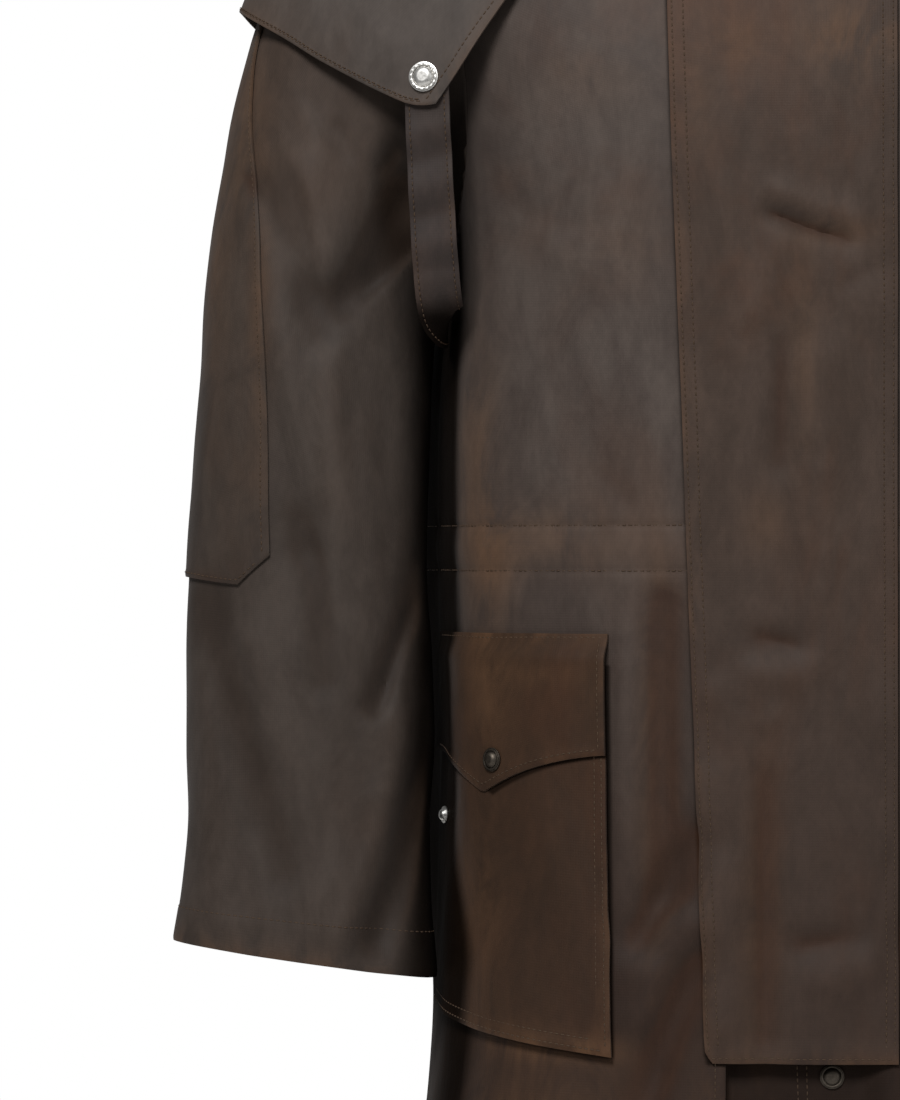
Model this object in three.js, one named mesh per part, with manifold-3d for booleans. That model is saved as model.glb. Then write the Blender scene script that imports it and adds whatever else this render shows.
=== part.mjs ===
// Duster coat of waxed cotton, in the hollow shape it has when worn, with no wearer.
// Millimetres, +Z up, the front faces -Y, and the wearer's right is -X. The origin is
// the middle of the neck opening, at the height of the shoulder's highest point.
import * as THREE from 'three';
import Module from 'manifold-3d';

const wasm = await Module();
wasm.setup();

// Driving sizes
const CLOTH = 1.8; // one layer of waxed cotton with its turnings
const GAP = 0.35; // air between two pieces at a seam
const SEAM = 0.2; // how far each panel stops short of a side seam
const HEM_Z = -1250;
const FLUTE_TOP = -560; // the skirt starts to wave below this height
const EDGE_X = 42; // the right front's free edge, from the middle
const UNDERLAP_X = -58; // the left front's hidden edge, behind the right front
const INSET_TOP = 4; // how far the left front lies behind the right front at the chest
const INSET_HEM = 10; // and at the hem
const INSET_TOP_Z = -500; // the step back grows from one to the other between these heights
const INSET_HEM_Z = -820;
const INSET_FULL_X = 38; // and it runs out between these distances from the middle
const INSET_NONE_X = 62;
const FLAP_SEAM_X = 64; // where the storm flap is sewn to the left front
const FLAP_EDGE_TOP_X = -79; // the storm flap's free edge at the chest
const FLAP_EDGE_RUN = 25; // how much nearer the middle that edge is at its bottom
const FLAP_EDGE_TOP_Z = -116;
const FLAP_NECK_Z = -62;
const FLAP_BOTTOM_Z = -774;
const FLAP_CLEAR = 1; // air under the storm flap, which has finer folds than the fronts
const FLAP_COLUMNS = 8;
const FLAP_LEVELS = 25;
const POCKET_STAND = 3.4; // room inside the bellows pocket, in front of the panel
const POCKET_TOP_Z = -530;
const POCKET_FLAP_TOP_Z = -510;
const POCKET_BOTTOM_Z = -772;
const POCKET_BOTTOM_RISE = 25; // the pocket's bottom edge is higher at the side
const POCKET_EDGE_TOP_X = -116; // the pocket's front edge, at its flap and at its bottom
const POCKET_EDGE_BOTTOM_X = -112;
const POCKET_FAR = -87; // degrees round the body, just in front of the side seam
const POCKET_FLAP_SIDE_Z = -586;
const POCKET_FLAP_POINT_Z = -611;
const FOOT = 0.85; // air under the pocket and its gusset, on curved cloth
const GUSSET_SET = 4; // the gusset lies this far inside the pocket's edge
const PATCH_TOP_LEVEL = 3.8;
const PATCH_BOTTOM_LEVEL = 9.62;
const PATCH_CORNER_LEVEL = 9.34; // the patch's lower corners are cut off up to here
const PATCH_COLUMNS = 8;
const SLEEVE_COLUMNS = 26;
const PATCH_CLOTH = 1.4;
const PATCH_FOOT = 0.85; // air under the patch, whose cells are flatter than the sleeve
const STRAP_WIDTH = 29;
const STRAP_CLOTH = 1.6;
const STRAP_LEVELS = 14;
const CAPE_LEVELS = 8;
const CAPE_COLUMNS = 40;
const SNAP_RADIUS = 9.5;
const SNAP_HEIGHT = 4.2;
const SMALL_SNAP_RADIUS = 7.5;
const SIDE_SNAP_RADIUS = 5.5;
const FRONT_SNAP_HEIGHT = 3.2; // the front's snap is lower, to lie under the storm flap
const SNAP_SIDES = 14;

// A table's rows become objects that are keyed by its column names.
function table(columns, rows) {
  return rows.map((row) => Object.fromEntries(columns.map((name, i) => [name, row[i]])));
}

// Rings of the body from the neck to the hem: the height and reach at the side seam,
// at the middle of the front and at the middle of the back, the corner's power, and how
// far the back stands out behind each arm.
const RING = ['sideZ', 'halfWidth', 'frontZ', 'frontDepth', 'backZ', 'backDepth', 'power'];
const BODY = table([...RING, 'fullness'], [
  [0, 86, -58, 70, 4, 60, 2.0, 0],
  [-14, 140, -74, 96, -10, 88, 2.15, 0],
  [-38, 208, -108, 118, -46, 118, 2.3, 0],
  [-86, 236, -158, 130, -116, 131, 2.4, 0],
  [-160, 231, -212, 134, -186, 136, 2.4, 0],
  [-262, 218, -275, 134, -268, 135, 2.4, 6],
  [-350, 220, -350, 132, -350, 130, 2.4, 27],
  [-455, 221, -455, 130, -455, 126, 2.4, 30],
  [-550, 219, -550, 136, -550, 132, 2.4, 28],
  [-650, 221, -650, 146, -650, 144, 2.4, 28],
  [-774, 230, -774, 161, -774, 162, 2.4, 9],
  [-930, 250, -930, 181, -930, 184, 2.35, 0],
  [-1090, 268, -1090, 199, -1090, 204, 2.3, 0],
  [HEM_Z, 286, HEM_Z, 215, HEM_Z, 221, 2.3, 0],
]);
const FULLNESS_ANGLE = 106; // where that fullness is greatest, round from the front
const FULLNESS_SPREAD = 15;

// Rings of the cape, and how far its front edge is from the middle at each.
const CAPE = table([...RING, 'edgeX'], [
  [5, 92, -42, 78, 11, 66, 2.0, 86],
  [-4, 132, -60, 96, 0, 86, 2.1, 106],
  [-19, 188, -86, 115, -26, 112, 2.2, 136],
  [-34, 252, -122, 127, -74, 132, 2.2, 164],
  [-56, 310, -160, 131, -138, 143, 2.2, 190],
  [-84, 347, -192, 132, -210, 148, 2.2, 210],
  [-108, 360, -226, 132, -285, 152, 2.2, 228],
]);

// Rings of a sleeve from the armhole to the cuff: the outer and the inner end of each
// ring, as distances from the middle and heights, its reach to the front and back,
// how far forward its middle is, and how far round its outer side the patch's edges lie.
const SLEEVE_ENDS = ['outerX', 'outerZ', 'innerX', 'innerZ'];
const SLEEVE = table([...SLEEVE_ENDS, 'depth', 'forward', 'patchAngle'], [
  [190, -46, 186, -250, 72, 0, 12],
  [232, -46, 212, -262, 76, 0, 12],
  [270, -52, 219, -271, 77, 0, 12],
  [306, -68, 224, -282, 76, 0, 13],
  [336, -98, 228, -295, 74, 0, 16],
  [353, -142, 231, -313, 71, 4, 28],
  [365, -200, 233, -339, 68, 11, 51],
  [375, -268, 234, -373, 66, 20, 64],
  [380, -345, 235, -415, 64, 27, 71],
  [386, -425, 236, -462, 60, 33, 75],
  [389, -505, 232, -516, 56, 40, 77],
  [389, -585, 230, -577, 52, 46, 77],
  [388, -642, 232, -644, 47, 54, 77],
  [395, -706, 227, -729, 40, 66, 77],
]);
const SLEEVE_POWER = 2.1;

// Soft waves of the skirt: their place round the body, spread, and height at the hem.
const FLUTES = table(['angle', 'spread', 'height'], [
  [-158, 15, 11],
  [-130, 13, -9],
  [-102, 14, 10],
  [-72, 12, -7],
  [-46, 11, 8],
  [-24, 9, -6],
  [26, 9, -5],
  [50, 12, 9],
  [76, 12, -8],
  [104, 15, 11],
  [134, 14, -10],
  [162, 13, 9],
  [180, 10, -8],
]);

// Folds run between two points seen from the front or the back; height is outwards.
const FOLD = ['x0', 'z0', 'x1', 'z1', 'width', 'height'];
const FRONT_FOLDS = table(FOLD, [
  [-80, -490, -82, -670, 13, -4],
  [-100, -480, -102, -680, 9, 2],
  [-58, -640, -92, -700, 14, -5],
  [-64, -690, -92, -748, 12, 3],
  [-60, -715, -96, -800, 15, -5],
  [-150, -330, -120, -425, 26, -2.5],
  [-190, -220, -150, -290, 24, -3],
  [150, -300, 118, -420, 26, -3],
  [88, -500, 92, -690, 12, -4],
  [74, -700, 96, -800, 14, -5],
  [190, -215, 152, -280, 24, -3],
]);
const BACK_FOLDS = table(FOLD, [
  [-60, -330, -120, -440, 26, -4],
  [70, -320, 110, -450, 24, -4],
  [-10, -470, -30, -620, 22, -4],
  [30, -500, 60, -680, 24, -4],
  [-130, -470, -100, -640, 24, -4],
  [140, -480, 120, -600, 22, -3],
]);
const FLAP_FOLDS = table(FOLD, [
  [-12, -249, 33, -265, 7, -3.4],
  [-8, -236, 36, -252, 9, 3.4],
  [-10, -268, -34, -330, 11, 2.4],
  [-7, -330, -8, -402, 11, -2.4],
  [14, -340, 16, -450, 14, 2.2],
  [-31, -512, 0, -519, 10, -3],
  [-22, -535, 8, -532, 12, 2.6],
  [-48, -546, -14, -562, 10, 2],
  [-20, -600, -19, -760, 12, -3],
  [-48, -600, -44, -750, 11, 2],
  [6, -702, 34, -698, 10, -2.6],
  [20, -722, 52, -712, 12, 2.6],
]);
const SLEEVE_FRONT_FOLDS = table(FOLD, [
  [250, -235, 288, -300, 17, -13],
  [308, -218, 304, -268, 24, 6],
  [338, -222, 300, -322, 11, -4],
  [325, -330, 292, -440, 20, 4],
  [336, -330, 312, -455, 13, -3],
  [238, -470, 268, -560, 11, -9],
  [246, -520, 262, -610, 10, 4],
  [372, -490, 318, -660, 18, -5],
  [350, -520, 296, -690, 16, 4],
  [308, -440, 296, -540, 12, -3],
  [232, -560, 278, -705, 13, -13],
  [246, -565, 292, -700, 10, 4],
  [384, -540, 362, -690, 16, 3],
]);
const SLEEVE_BACK_FOLDS = table(FOLD, [
  [262, -330, 330, -400, 16, -8],
  [258, -400, 344, -440, 15, -7],
  [270, -470, 352, -500, 16, -6],
  [260, -365, 340, -420, 10, 3],
  [330, -540, 300, -690, 18, -4],
  [270, -560, 262, -690, 16, 4],
  [300, -180, 280, -290, 22, -5],
]);
const CAPE_FOLDS = table(FOLD, [
  [-300, -50, -318, -120, 22, -3],
  [-205, -60, -245, -150, 26, 2.5],
  [300, -50, 318, -120, 22, -3],
  [205, -60, 245, -150, 26, 2.5],
]);
const CAPE_BACK_FOLDS = table(FOLD, [
  [-150, -120, -190, -290, 24, -6],
  [-70, -140, -86, -300, 22, 5],
  [20, -140, 18, -300, 22, -5],
  [100, -140, 120, -300, 24, 5],
  [190, -110, 230, -270, 24, -6],
]);

// The strap's middle line, and the direction of its width there.
const STRAP = table(['x', 'y', 'z', 'wideX', 'wideY', 'wideZ'], [
  [231, -102, -152, 1, -0.24, 0],
  [230, -103.6, -186, 1, -0.22, 0],
  [227.5, -101, -240, 1, -0.14, 0],
  [225, -94, -285, 1, -0.06, 0.02],
  [223, -80, -306, 0.94, 0, 0.28],
  [223.6, -62, -313, 0.5, 0, 0.87],
  [225, -44, -313, 0.1, 0, 1],
  [225.6, -26, -311, 0, 0, 1],
]);

// The collar's section: outwards and upwards from the neck seam, and how much of the
// drop of its fall each point takes.
const COLLAR = table(['out', 'up', 'drop'], [
  [0.5, 1.1, 0],
  [2, 16, 0],
  [4, 32, 0],
  [10, 41, 0],
  [18, 39, 0.1],
  [25, 28, 0.35],
  [33, 16, 0.7],
  [42, 5, 1],
]);
const COLLAR_FRONT_DROP = 26;
const COLLAR_BACK_DROP = 12;
const COLLAR_END = 12; // degrees from the middle of the front
const COLLAR_COLUMNS = 24;

// Outlines of the snaps: distance from the middle and height, as shares of the size.
const SNAP_PROFILE = table(['across', 'up'], [
  [0, 0], [0.96, 0], [1, 0.28], [0.82, 0.46], [0.72, 0.6], [0.42, 0.92], [0, 1],
]);

const clamp = (value, low, high) => Math.min(Math.max(value, low), high);
const lerp = THREE.MathUtils.lerp;
const radians = THREE.MathUtils.degToRad;
const degrees = THREE.MathUtils.radToDeg;
const smooth = (value, from, to) => {
  const t = clamp((value - from) / (to - from), 0, 1);
  return t * t * (3 - 2 * t);
};

// Every column of a table at a level between its rows, on a smooth curve.
function rowAt(rows, level) {
  const last = rows.length - 1;
  const i = clamp(Math.floor(level), 0, last - 1);
  const t = level - i;
  const [a, b, c, d] = [i - 1, i, i + 1, i + 2].map((k) => rows[clamp(k, 0, last)]);
  const curve = (p, q, r, s) => (
    q + 0.5 * t * (r - p + t * (2 * p - 5 * q + 4 * r - s + t * (3 * (q - r) + s - p)))
  );
  return Object.fromEntries(
    Object.keys(b).map((key) => [key, curve(a[key], b[key], c[key], d[key])]),
  );
}

// The level at which a column that falls along the table reaches a value.
function levelOf(rows, column, value) {
  let low = 0;
  let high = rows.length - 1;
  for (let step = 0; step < 40; step += 1) {
    const middle = (low + high) / 2;
    if (rowAt(rows, middle)[column] > value) low = middle;
    else high = middle;
  }
  return (low + high) / 2;
}

// How far a table of folds moves the cloth outwards at a place.
function foldsAt(folds, x, z) {
  let out = 0;
  for (const fold of folds) {
    const runX = fold.x1 - fold.x0;
    const runZ = fold.z1 - fold.z0;
    const reach = (x - fold.x0) * runX + (z - fold.z0) * runZ;
    const along = clamp(reach / (runX * runX + runZ * runZ), 0, 1);
    const away = Math.hypot(x - fold.x0 - along * runX, z - fold.z0 - along * runZ);
    out += fold.height * Math.exp(-((away / fold.width) ** 2));
  }
  return out;
}

// A point of a flattened ring. Angle 0 is the middle of the front, 90 the left side.
function ringPoint(ring, angle) {
  const s = Math.sin(radians(angle));
  const c = Math.cos(radians(angle));
  const depth = c > 0 ? ring.frontDepth : ring.backDepth;
  const middleZ = c > 0 ? ring.frontZ : ring.backZ;
  return new THREE.Vector3(
    ring.halfWidth * Math.sign(s) * Math.abs(s) ** (2 / ring.power),
    -depth * Math.sign(c) * Math.abs(c) ** (2 / ring.power),
    ring.sideZ + (middleZ - ring.sideZ) * c * c,
  );
}

// The angle on the front of a ring at a distance from the middle.
function angleAtX(ring, x) {
  const share = Math.min(Math.abs(x) / ring.halfWidth, 1);
  return Math.sign(x) * degrees(Math.asin(share ** (ring.power / 2)));
}

// The angle at which a panel stops short of the side seam.
function seamAngle(ring) {
  return degrees(Math.acos((SEAM / ring.frontDepth) ** (ring.power / 2)));
}

function flutesAt(angle, z) {
  const growth = clamp((FLUTE_TOP - z) / (FLUTE_TOP - HEM_Z), 0, 1) ** 1.4;
  let out = 0;
  for (const flute of FLUTES) {
    const turn = ((angle - flute.angle + 540) % 360) - 180;
    out += flute.height * growth * Math.exp(-((turn / flute.spread) ** 2));
  }
  return out;
}

// How far the back's cloth stands out behind the arms.
function fullnessAt(ring, angle) {
  const turn = Math.abs(((angle + 540) % 360) - 180);
  return ring.fullness * Math.exp(-(((turn - FULLNESS_ANGLE) / FULLNESS_SPREAD) ** 2));
}

// The body's outer face.
function bodySurface(angle, level) {
  const ring = rowAt(BODY, level);
  const point = ringPoint(ring, angle);
  const front = Math.cos(radians(angle)) > 0;
  const facing = Math.abs(Math.cos(radians(angle))) ** 0.5;
  const folds = foldsAt(front ? FRONT_FOLDS : BACK_FOLDS, point.x, point.z) * facing;
  const out = flutesAt(angle, point.z) + fullnessAt(ring, angle) + folds;
  const away = new THREE.Vector3(point.x / ring.halfWidth, point.y / ring.frontDepth, 0);
  return point.addScaledVector(away.normalize(), out);
}

// The cape's outer face: across runs from its left front edge round the back to its right.
function capeSurface(across, level) {
  const ring = rowAt(CAPE, level);
  const start = angleAtX(ring, ring.edgeX);
  const angle = start + across * (360 - 2 * start);
  const point = ringPoint(ring, angle);
  const folds = Math.cos(radians(angle)) > 0 ? CAPE_FOLDS : CAPE_BACK_FOLDS;
  const out = foldsAt(folds, point.x, point.z) * smooth(level, 1.5, 4);
  const away = new THREE.Vector3(point.x / ring.halfWidth, point.y / ring.frontDepth, 0);
  return point.addScaledVector(away.normalize(), out);
}

// The right sleeve's outer face. Angle 0 is the outer side and 90 the front.
function sleeveSurface(angle, level) {
  const ring = rowAt(SLEEVE, level);
  const s = Math.sin(radians(angle));
  const c = Math.cos(radians(angle));
  const across = Math.sign(c) * Math.abs(c) ** (2 / SLEEVE_POWER);
  const forward = Math.sign(s) * Math.abs(s) ** (2 / SLEEVE_POWER);
  const reachX = (ring.outerX - ring.innerX) / 2;
  const reachZ = (ring.outerZ - ring.innerZ) / 2;
  const x = ring.innerX + reachX + reachX * across;
  const z = ring.innerZ + reachZ + reachZ * across;
  const folds = s > 0 ? SLEEVE_FRONT_FOLDS : SLEEVE_BACK_FOLDS;
  const out = foldsAt(folds, x, z) * smooth(Math.abs(s), 0.1, 0.7);
  const y = -ring.forward - forward * ring.depth - Math.sign(s) * out;
  return new THREE.Vector3(-x, y, z);
}

function strapSurface(across, level) {
  const row = rowAt(STRAP, level);
  const wide = new THREE.Vector3(row.wideX, row.wideY, row.wideZ).normalize();
  return new THREE.Vector3(-row.x, row.y, row.z).addScaledVector(wide, across * STRAP_WIDTH / 2);
}

function collarSurface(angle, level) {
  const row = rowAt(COLLAR, level);
  const seam = ringPoint(BODY[0], angle);
  const c = Math.cos(radians(angle));
  const drop = (c > 0 ? COLLAR_FRONT_DROP : COLLAR_BACK_DROP) * c * c * row.drop;
  const away = new THREE.Vector3(seam.x, seam.y, 0).normalize();
  seam.addScaledVector(away, row.out);
  seam.z += row.up - drop;
  return seam;
}

// A surface's outward direction at a place, from its neighbours.
function facingAt(surface, u, v) {
  const stepU = surface === capeSurface ? 0.004 : 0.5;
  const stepV = 0.02;
  const alongU = surface(u + stepU, v).sub(surface(u - stepU, v));
  const alongV = surface(u, v + stepV).sub(surface(u, v - stepV));
  return alongV.cross(alongU).normalize();
}

// Points of a surface moved out by a distance, for rows of [u, v] places.
function grid(surface, places, out) {
  return places.map((row) => row.map(([u, v]) => {
    const distance = typeof out === 'function' ? out(u, v) : out;
    return surface(u, v).addScaledVector(facingAt(surface, u, v), distance);
  }));
}

// A closed wall between two grids of points. A tube's last column meets its first.
function wall(outer, inner, tube = false) {
  const rows = outer.length;
  const columns = outer[0].length;
  const at = (side, r, c) => (side * rows + r) * columns + (c % columns);
  const index = [];
  const face = (a, b, c, d) => index.push(a, b, c, a, c, d);
  const spans = tube ? columns : columns - 1;
  for (let c = 0; c < spans; c += 1) {
    for (let r = 0; r < rows - 1; r += 1) {
      face(at(0, r, c), at(0, r + 1, c), at(0, r + 1, c + 1), at(0, r, c + 1));
      face(at(1, r, c), at(1, r, c + 1), at(1, r + 1, c + 1), at(1, r + 1, c));
    }
    face(at(0, 0, c), at(0, 0, c + 1), at(1, 0, c + 1), at(1, 0, c));
    const last = rows - 1;
    face(at(0, last, c + 1), at(0, last, c), at(1, last, c), at(1, last, c + 1));
  }
  for (let r = 0; r < rows - 1 && !tube; r += 1) {
    const last = columns - 1;
    face(at(0, r + 1, 0), at(0, r, 0), at(1, r, 0), at(1, r + 1, 0));
    face(at(0, r, last), at(0, r + 1, last), at(1, r + 1, last), at(1, r, last));
  }
  return facingOut([...outer.flat(), ...inner.flat()], index);
}

// A filled solid through closed rings of points, with a flat end at each side.
function filled(rings) {
  const columns = rings[0].length;
  const points = rings.flat();
  const index = [];
  const at = (r, c) => r * columns + (c % columns);
  for (let r = 0; r < rings.length - 1; r += 1) {
    for (let c = 0; c < columns; c += 1) {
      index.push(at(r, c), at(r + 1, c), at(r + 1, c + 1));
      index.push(at(r, c), at(r + 1, c + 1), at(r, c + 1));
    }
  }
  for (const [r, order] of [[0, 1], [rings.length - 1, -1]]) {
    const middle = points.length;
    const sum = rings[r].reduce((total, p) => total.add(p), new THREE.Vector3());
    points.push(sum.divideScalar(columns));
    for (let c = 0; c < columns; c += 1) {
      const [from, to] = order > 0 ? [at(r, c), at(r, c + 1)] : [at(r, c + 1), at(r, c)];
      index.push(middle, from, to);
    }
  }
  return facingOut(points, index);
}

// A geometry from points and triangles, turned so that its faces look outwards.
function facingOut(points, index) {
  const geometry = new THREE.BufferGeometry();
  const position = points.flatMap((p) => [p.x, p.y, p.z]);
  geometry.setAttribute('position', new THREE.Float32BufferAttribute(position, 3));
  let volume = 0;
  for (let i = 0; i < index.length; i += 3) {
    const [a, b, c] = [points[index[i]], points[index[i + 1]], points[index[i + 2]]];
    volume += a.dot(b.clone().cross(c));
  }
  const turned = volume > 0 ? index : index.map((_, i) => index[i - (i % 3) + 2 - (i % 3)]);
  geometry.setIndex(turned);
  return geometry;
}

function toManifold(geometry) {
  return new wasm.Manifold(new wasm.Mesh({
    numProp: 3,
    vertProperties: new Float32Array(geometry.getAttribute('position').array),
    triVerts: new Uint32Array(geometry.getIndex().array),
  }));
}

function fromManifold(solid) {
  const mesh = solid.getMesh();
  const geometry = new THREE.BufferGeometry();
  geometry.setAttribute('position', new THREE.BufferAttribute(mesh.vertProperties, 3));
  geometry.setIndex(new THREE.BufferAttribute(mesh.triVerts, 1));
  return geometry;
}

// The same piece on the wearer's other side.
function mirrored(geometry) {
  const copy = geometry.clone().scale(-1, 1, 1);
  const index = Array.from(copy.getIndex().array);
  copy.setIndex(index.map((_, i) => index[i - (i % 3) + 2 - (i % 3)]));
  return copy;
}

const range = (from, to, steps) => (
  Array.from({ length: steps + 1 }, (_, i) => lerp(from, to, i / steps))
);

// Places of a panel: its levels, its own edges, and the body's columns between them.
const BODY_LEVELS = [0, 1, 2, 2.5, 3, 4, ...range(5, 10, 10), 11, 12, 13];
const COLUMN = 6; // degrees between the body's columns
const columnsBetween = (from, to) => range(from, to, Math.round((to - from) / COLUMN));
const panel = (levels, first, between, last) => levels.map((level) => {
  const ring = rowAt(BODY, level);
  return [first(ring), ...between, last(ring)].map((angle) => [angle, level]);
});

// Distances from the middle shrink towards the neck with the ring they lie on.
const scaledX = (ring, x) => x * Math.min(1, ring.halfWidth / BODY[2].halfWidth);

// The left front steps back behind the right front and the storm flap.
function underlapInset(angle, level) {
  const point = bodySurface(angle, level);
  const deep = lerp(INSET_TOP, INSET_HEM, smooth(point.z, INSET_TOP_Z, INSET_HEM_Z));
  return -deep * (1 - smooth(point.x, INSET_FULL_X, INSET_NONE_X));
}

function sheetOn(surface, places, out, cloth, tube = false) {
  const low = typeof out === 'function' ? (u, v) => out(u, v) - cloth : out - cloth;
  return wall(grid(surface, places, out), grid(surface, places, low), tube);
}

// The armholes: what the right sleeve's hollow takes out of the body's panels.
const sleeveRing = (level, out) => (
  grid(sleeveSurface, [range(0, 360, SLEEVE_COLUMNS).slice(0, -1).map((a) => [a, level])], out)[0]
);
const ARMHOLE_LEVELS = [0, 0.5, 1, 1.5, 2, 3];
const rightArmhole = filled(ARMHOLE_LEVELS.map((level) => sleeveRing(level, -CLOTH)));
const armholes = toManifold(rightArmhole).add(toManifold(mirrored(rightArmhole)));

const backPlaces = panel(
  BODY_LEVELS,
  (ring) => 180 - seamAngle(ring),
  columnsBetween(96, 264),
  (ring) => 180 + seamAngle(ring),
);
const rightPlaces = panel(
  BODY_LEVELS,
  (ring) => -seamAngle(ring),
  columnsBetween(-84, -12),
  (ring) => angleAtX(ring, scaledX(ring, -EDGE_X)),
);
const leftPlaces = panel(
  BODY_LEVELS,
  (ring) => angleAtX(ring, scaledX(ring, UNDERLAP_X)),
  columnsBetween(-6, 84),
  seamAngle,
);
const withoutArmholes = (geometry) => fromManifold(toManifold(geometry).subtract(armholes));
const back = withoutArmholes(sheetOn(bodySurface, backPlaces, 0, CLOTH));
const frontRight = withoutArmholes(sheetOn(bodySurface, rightPlaces, 0, CLOTH));
const frontLeft = withoutArmholes(sheetOn(bodySurface, leftPlaces, underlapInset, CLOTH));

// Sleeves: a tube whose columns follow the patch's edges, butted to the body.
const patchAngle = (level) => rowAt(SLEEVE, level).patchAngle;
const patchColumns = (level) => range(-patchAngle(level), patchAngle(level), PATCH_COLUMNS);
const sleeveColumns = (level) => [
  ...patchColumns(level),
  ...range(patchAngle(level), 360 - patchAngle(level), SLEEVE_COLUMNS - PATCH_COLUMNS).slice(1, -1),
];
const SLEEVE_LEVELS = [
  0, 1, 2.4, 3.8, ...range(5, 9, 8), 9.3, PATCH_BOTTOM_LEVEL, 10.2, 10.9, 11.6, 12.3, 13,
];
const sleevePlaces = SLEEVE_LEVELS.map((level) => sleeveColumns(level).map((a) => [a, level]));
const bodyRings = BODY_LEVELS.map((level) => (
  grid(bodySurface, [columnsBetween(0, 354).map((angle) => [angle, level])], GAP)[0]
));
const bodyFilled = toManifold(filled(bodyRings));
const sleeveTube = sheetOn(sleeveSurface, sleevePlaces, 0, CLOTH, true);
const sleeveRight = fromManifold(toManifold(sleeveTube).subtract(bodyFilled));
const sleeveLeft = fromManifold(toManifold(mirrored(sleeveTube)).subtract(bodyFilled));

// Elbow patch: on the sleeve's own columns, with its lower corners cut off.
const patchRows = SLEEVE_LEVELS.filter((l) => l >= PATCH_TOP_LEVEL && l <= PATCH_BOTTOM_LEVEL);
const patchPlaces = patchRows.map((level) => patchColumns(level).map((angle, i) => {
  const corner = level === PATCH_BOTTOM_LEVEL && (i === 0 || i === PATCH_COLUMNS);
  return [angle, corner ? PATCH_CORNER_LEVEL : level];
}));
const patchRight = sheetOn(sleeveSurface, patchPlaces, PATCH_FOOT + PATCH_CLOTH, PATCH_CLOTH);

// Cape: one sheet from the right front edge round the back to the left.
const CAPE_HEM = CAPE.length - 1;
const CAPE_CORNER = 0.12; // levels by which the hem's front corners are rounded up
const capePlaces = range(0, CAPE_HEM, CAPE_LEVELS).map((level) => (
  range(0, 1, CAPE_COLUMNS).map((across) => {
    const atCorner = level === CAPE_HEM && (across === 0 || across === 1);
    return [across, atCorner ? level - CAPE_CORNER : level];
  })
));
const cape = sheetOn(capeSurface, capePlaces, 0, CLOTH);

// Collar: stand and fall in one sheet, with a row of points at each row of its table.
const collarPlaces = COLLAR.map((_, level) => (
  range(COLLAR_END, 360 - COLLAR_END, COLLAR_COLUMNS).map((angle) => [angle, level])
));
const collar = sheetOn(collarSurface, collarPlaces, 0, CLOTH);

// Storm flap: sewn to the left front and closing over the right front's edge.
const FLAP_CORNER = 0.06; // levels by which the flap's lower corners are rounded up
const TROUGH_FROM_X = -38; // troughs sink only where the fronts leave room behind the flap
const TROUGH_FULL_X = -16;
const TROUGH_END_X = 44;
const flapEdgeX = (z) => {
  const share = (FLAP_EDGE_TOP_Z - z) / (FLAP_EDGE_TOP_Z - FLAP_BOTTOM_Z);
  return FLAP_EDGE_TOP_X + FLAP_EDGE_RUN * clamp(share, -0.2, 1);
};
function flapSurface(across, level) {
  const ring = rowAt(BODY, level);
  const x = lerp(scaledX(ring, flapEdgeX(ring.frontZ)), scaledX(ring, FLAP_SEAM_X), across);
  const point = bodySurface(angleAtX(ring, x), level);
  const fold = foldsAt(FLAP_FOLDS, point.x, point.z);
  const rightRoom = smooth(point.x, TROUGH_FROM_X, TROUGH_FULL_X);
  const leftRoom = 1 - smooth(point.x, TROUGH_END_X, FLAP_SEAM_X);
  point.y -= fold < 0 ? fold * rightRoom * leftRoom : fold * smooth(1 - across, 0, 0.15);
  return point;
}
const levelAtZ = (z) => levelOf(BODY, 'frontZ', z);
const flapBottom = levelAtZ(FLAP_BOTTOM_Z);
const flapRows = [levelAtZ(FLAP_NECK_Z), 1, ...range(2, flapBottom, FLAP_LEVELS)];
const flapPlaces = flapRows.map((level) => range(0, 1, FLAP_COLUMNS).map((across) => {
  const atCorner = level === flapBottom && (across === 0 || across === 1);
  return [across, atCorner ? level - FLAP_CORNER : level];
}));
const stormFlap = sheetOn(flapSurface, flapPlaces, FLAP_CLEAR + CLOTH, CLOTH);

// Bellows pocket: a panel that stands off the front on a gusset along its front edge
// and its bottom, open at the top and sewn flat at the side seam.
const RIGHT = 1;
const LEFT = -1;
const pocketEdgeX = (z) => {
  const share = (POCKET_FLAP_TOP_Z - z) / (POCKET_FLAP_TOP_Z - POCKET_BOTTOM_Z);
  return lerp(POCKET_EDGE_TOP_X, POCKET_EDGE_BOTTOM_X, clamp(share, 0, 1));
};
const pocketOut = (angle) => FOOT + POCKET_STAND * smooth(Math.abs(angle), -POCKET_FAR, 64);
const bottomEdge = (share) => POCKET_BOTTOM_Z + POCKET_BOTTOM_RISE * share;
const onSide = (places, side) => places.map((row) => row.map(([a, level]) => [side * a, level]));

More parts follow.
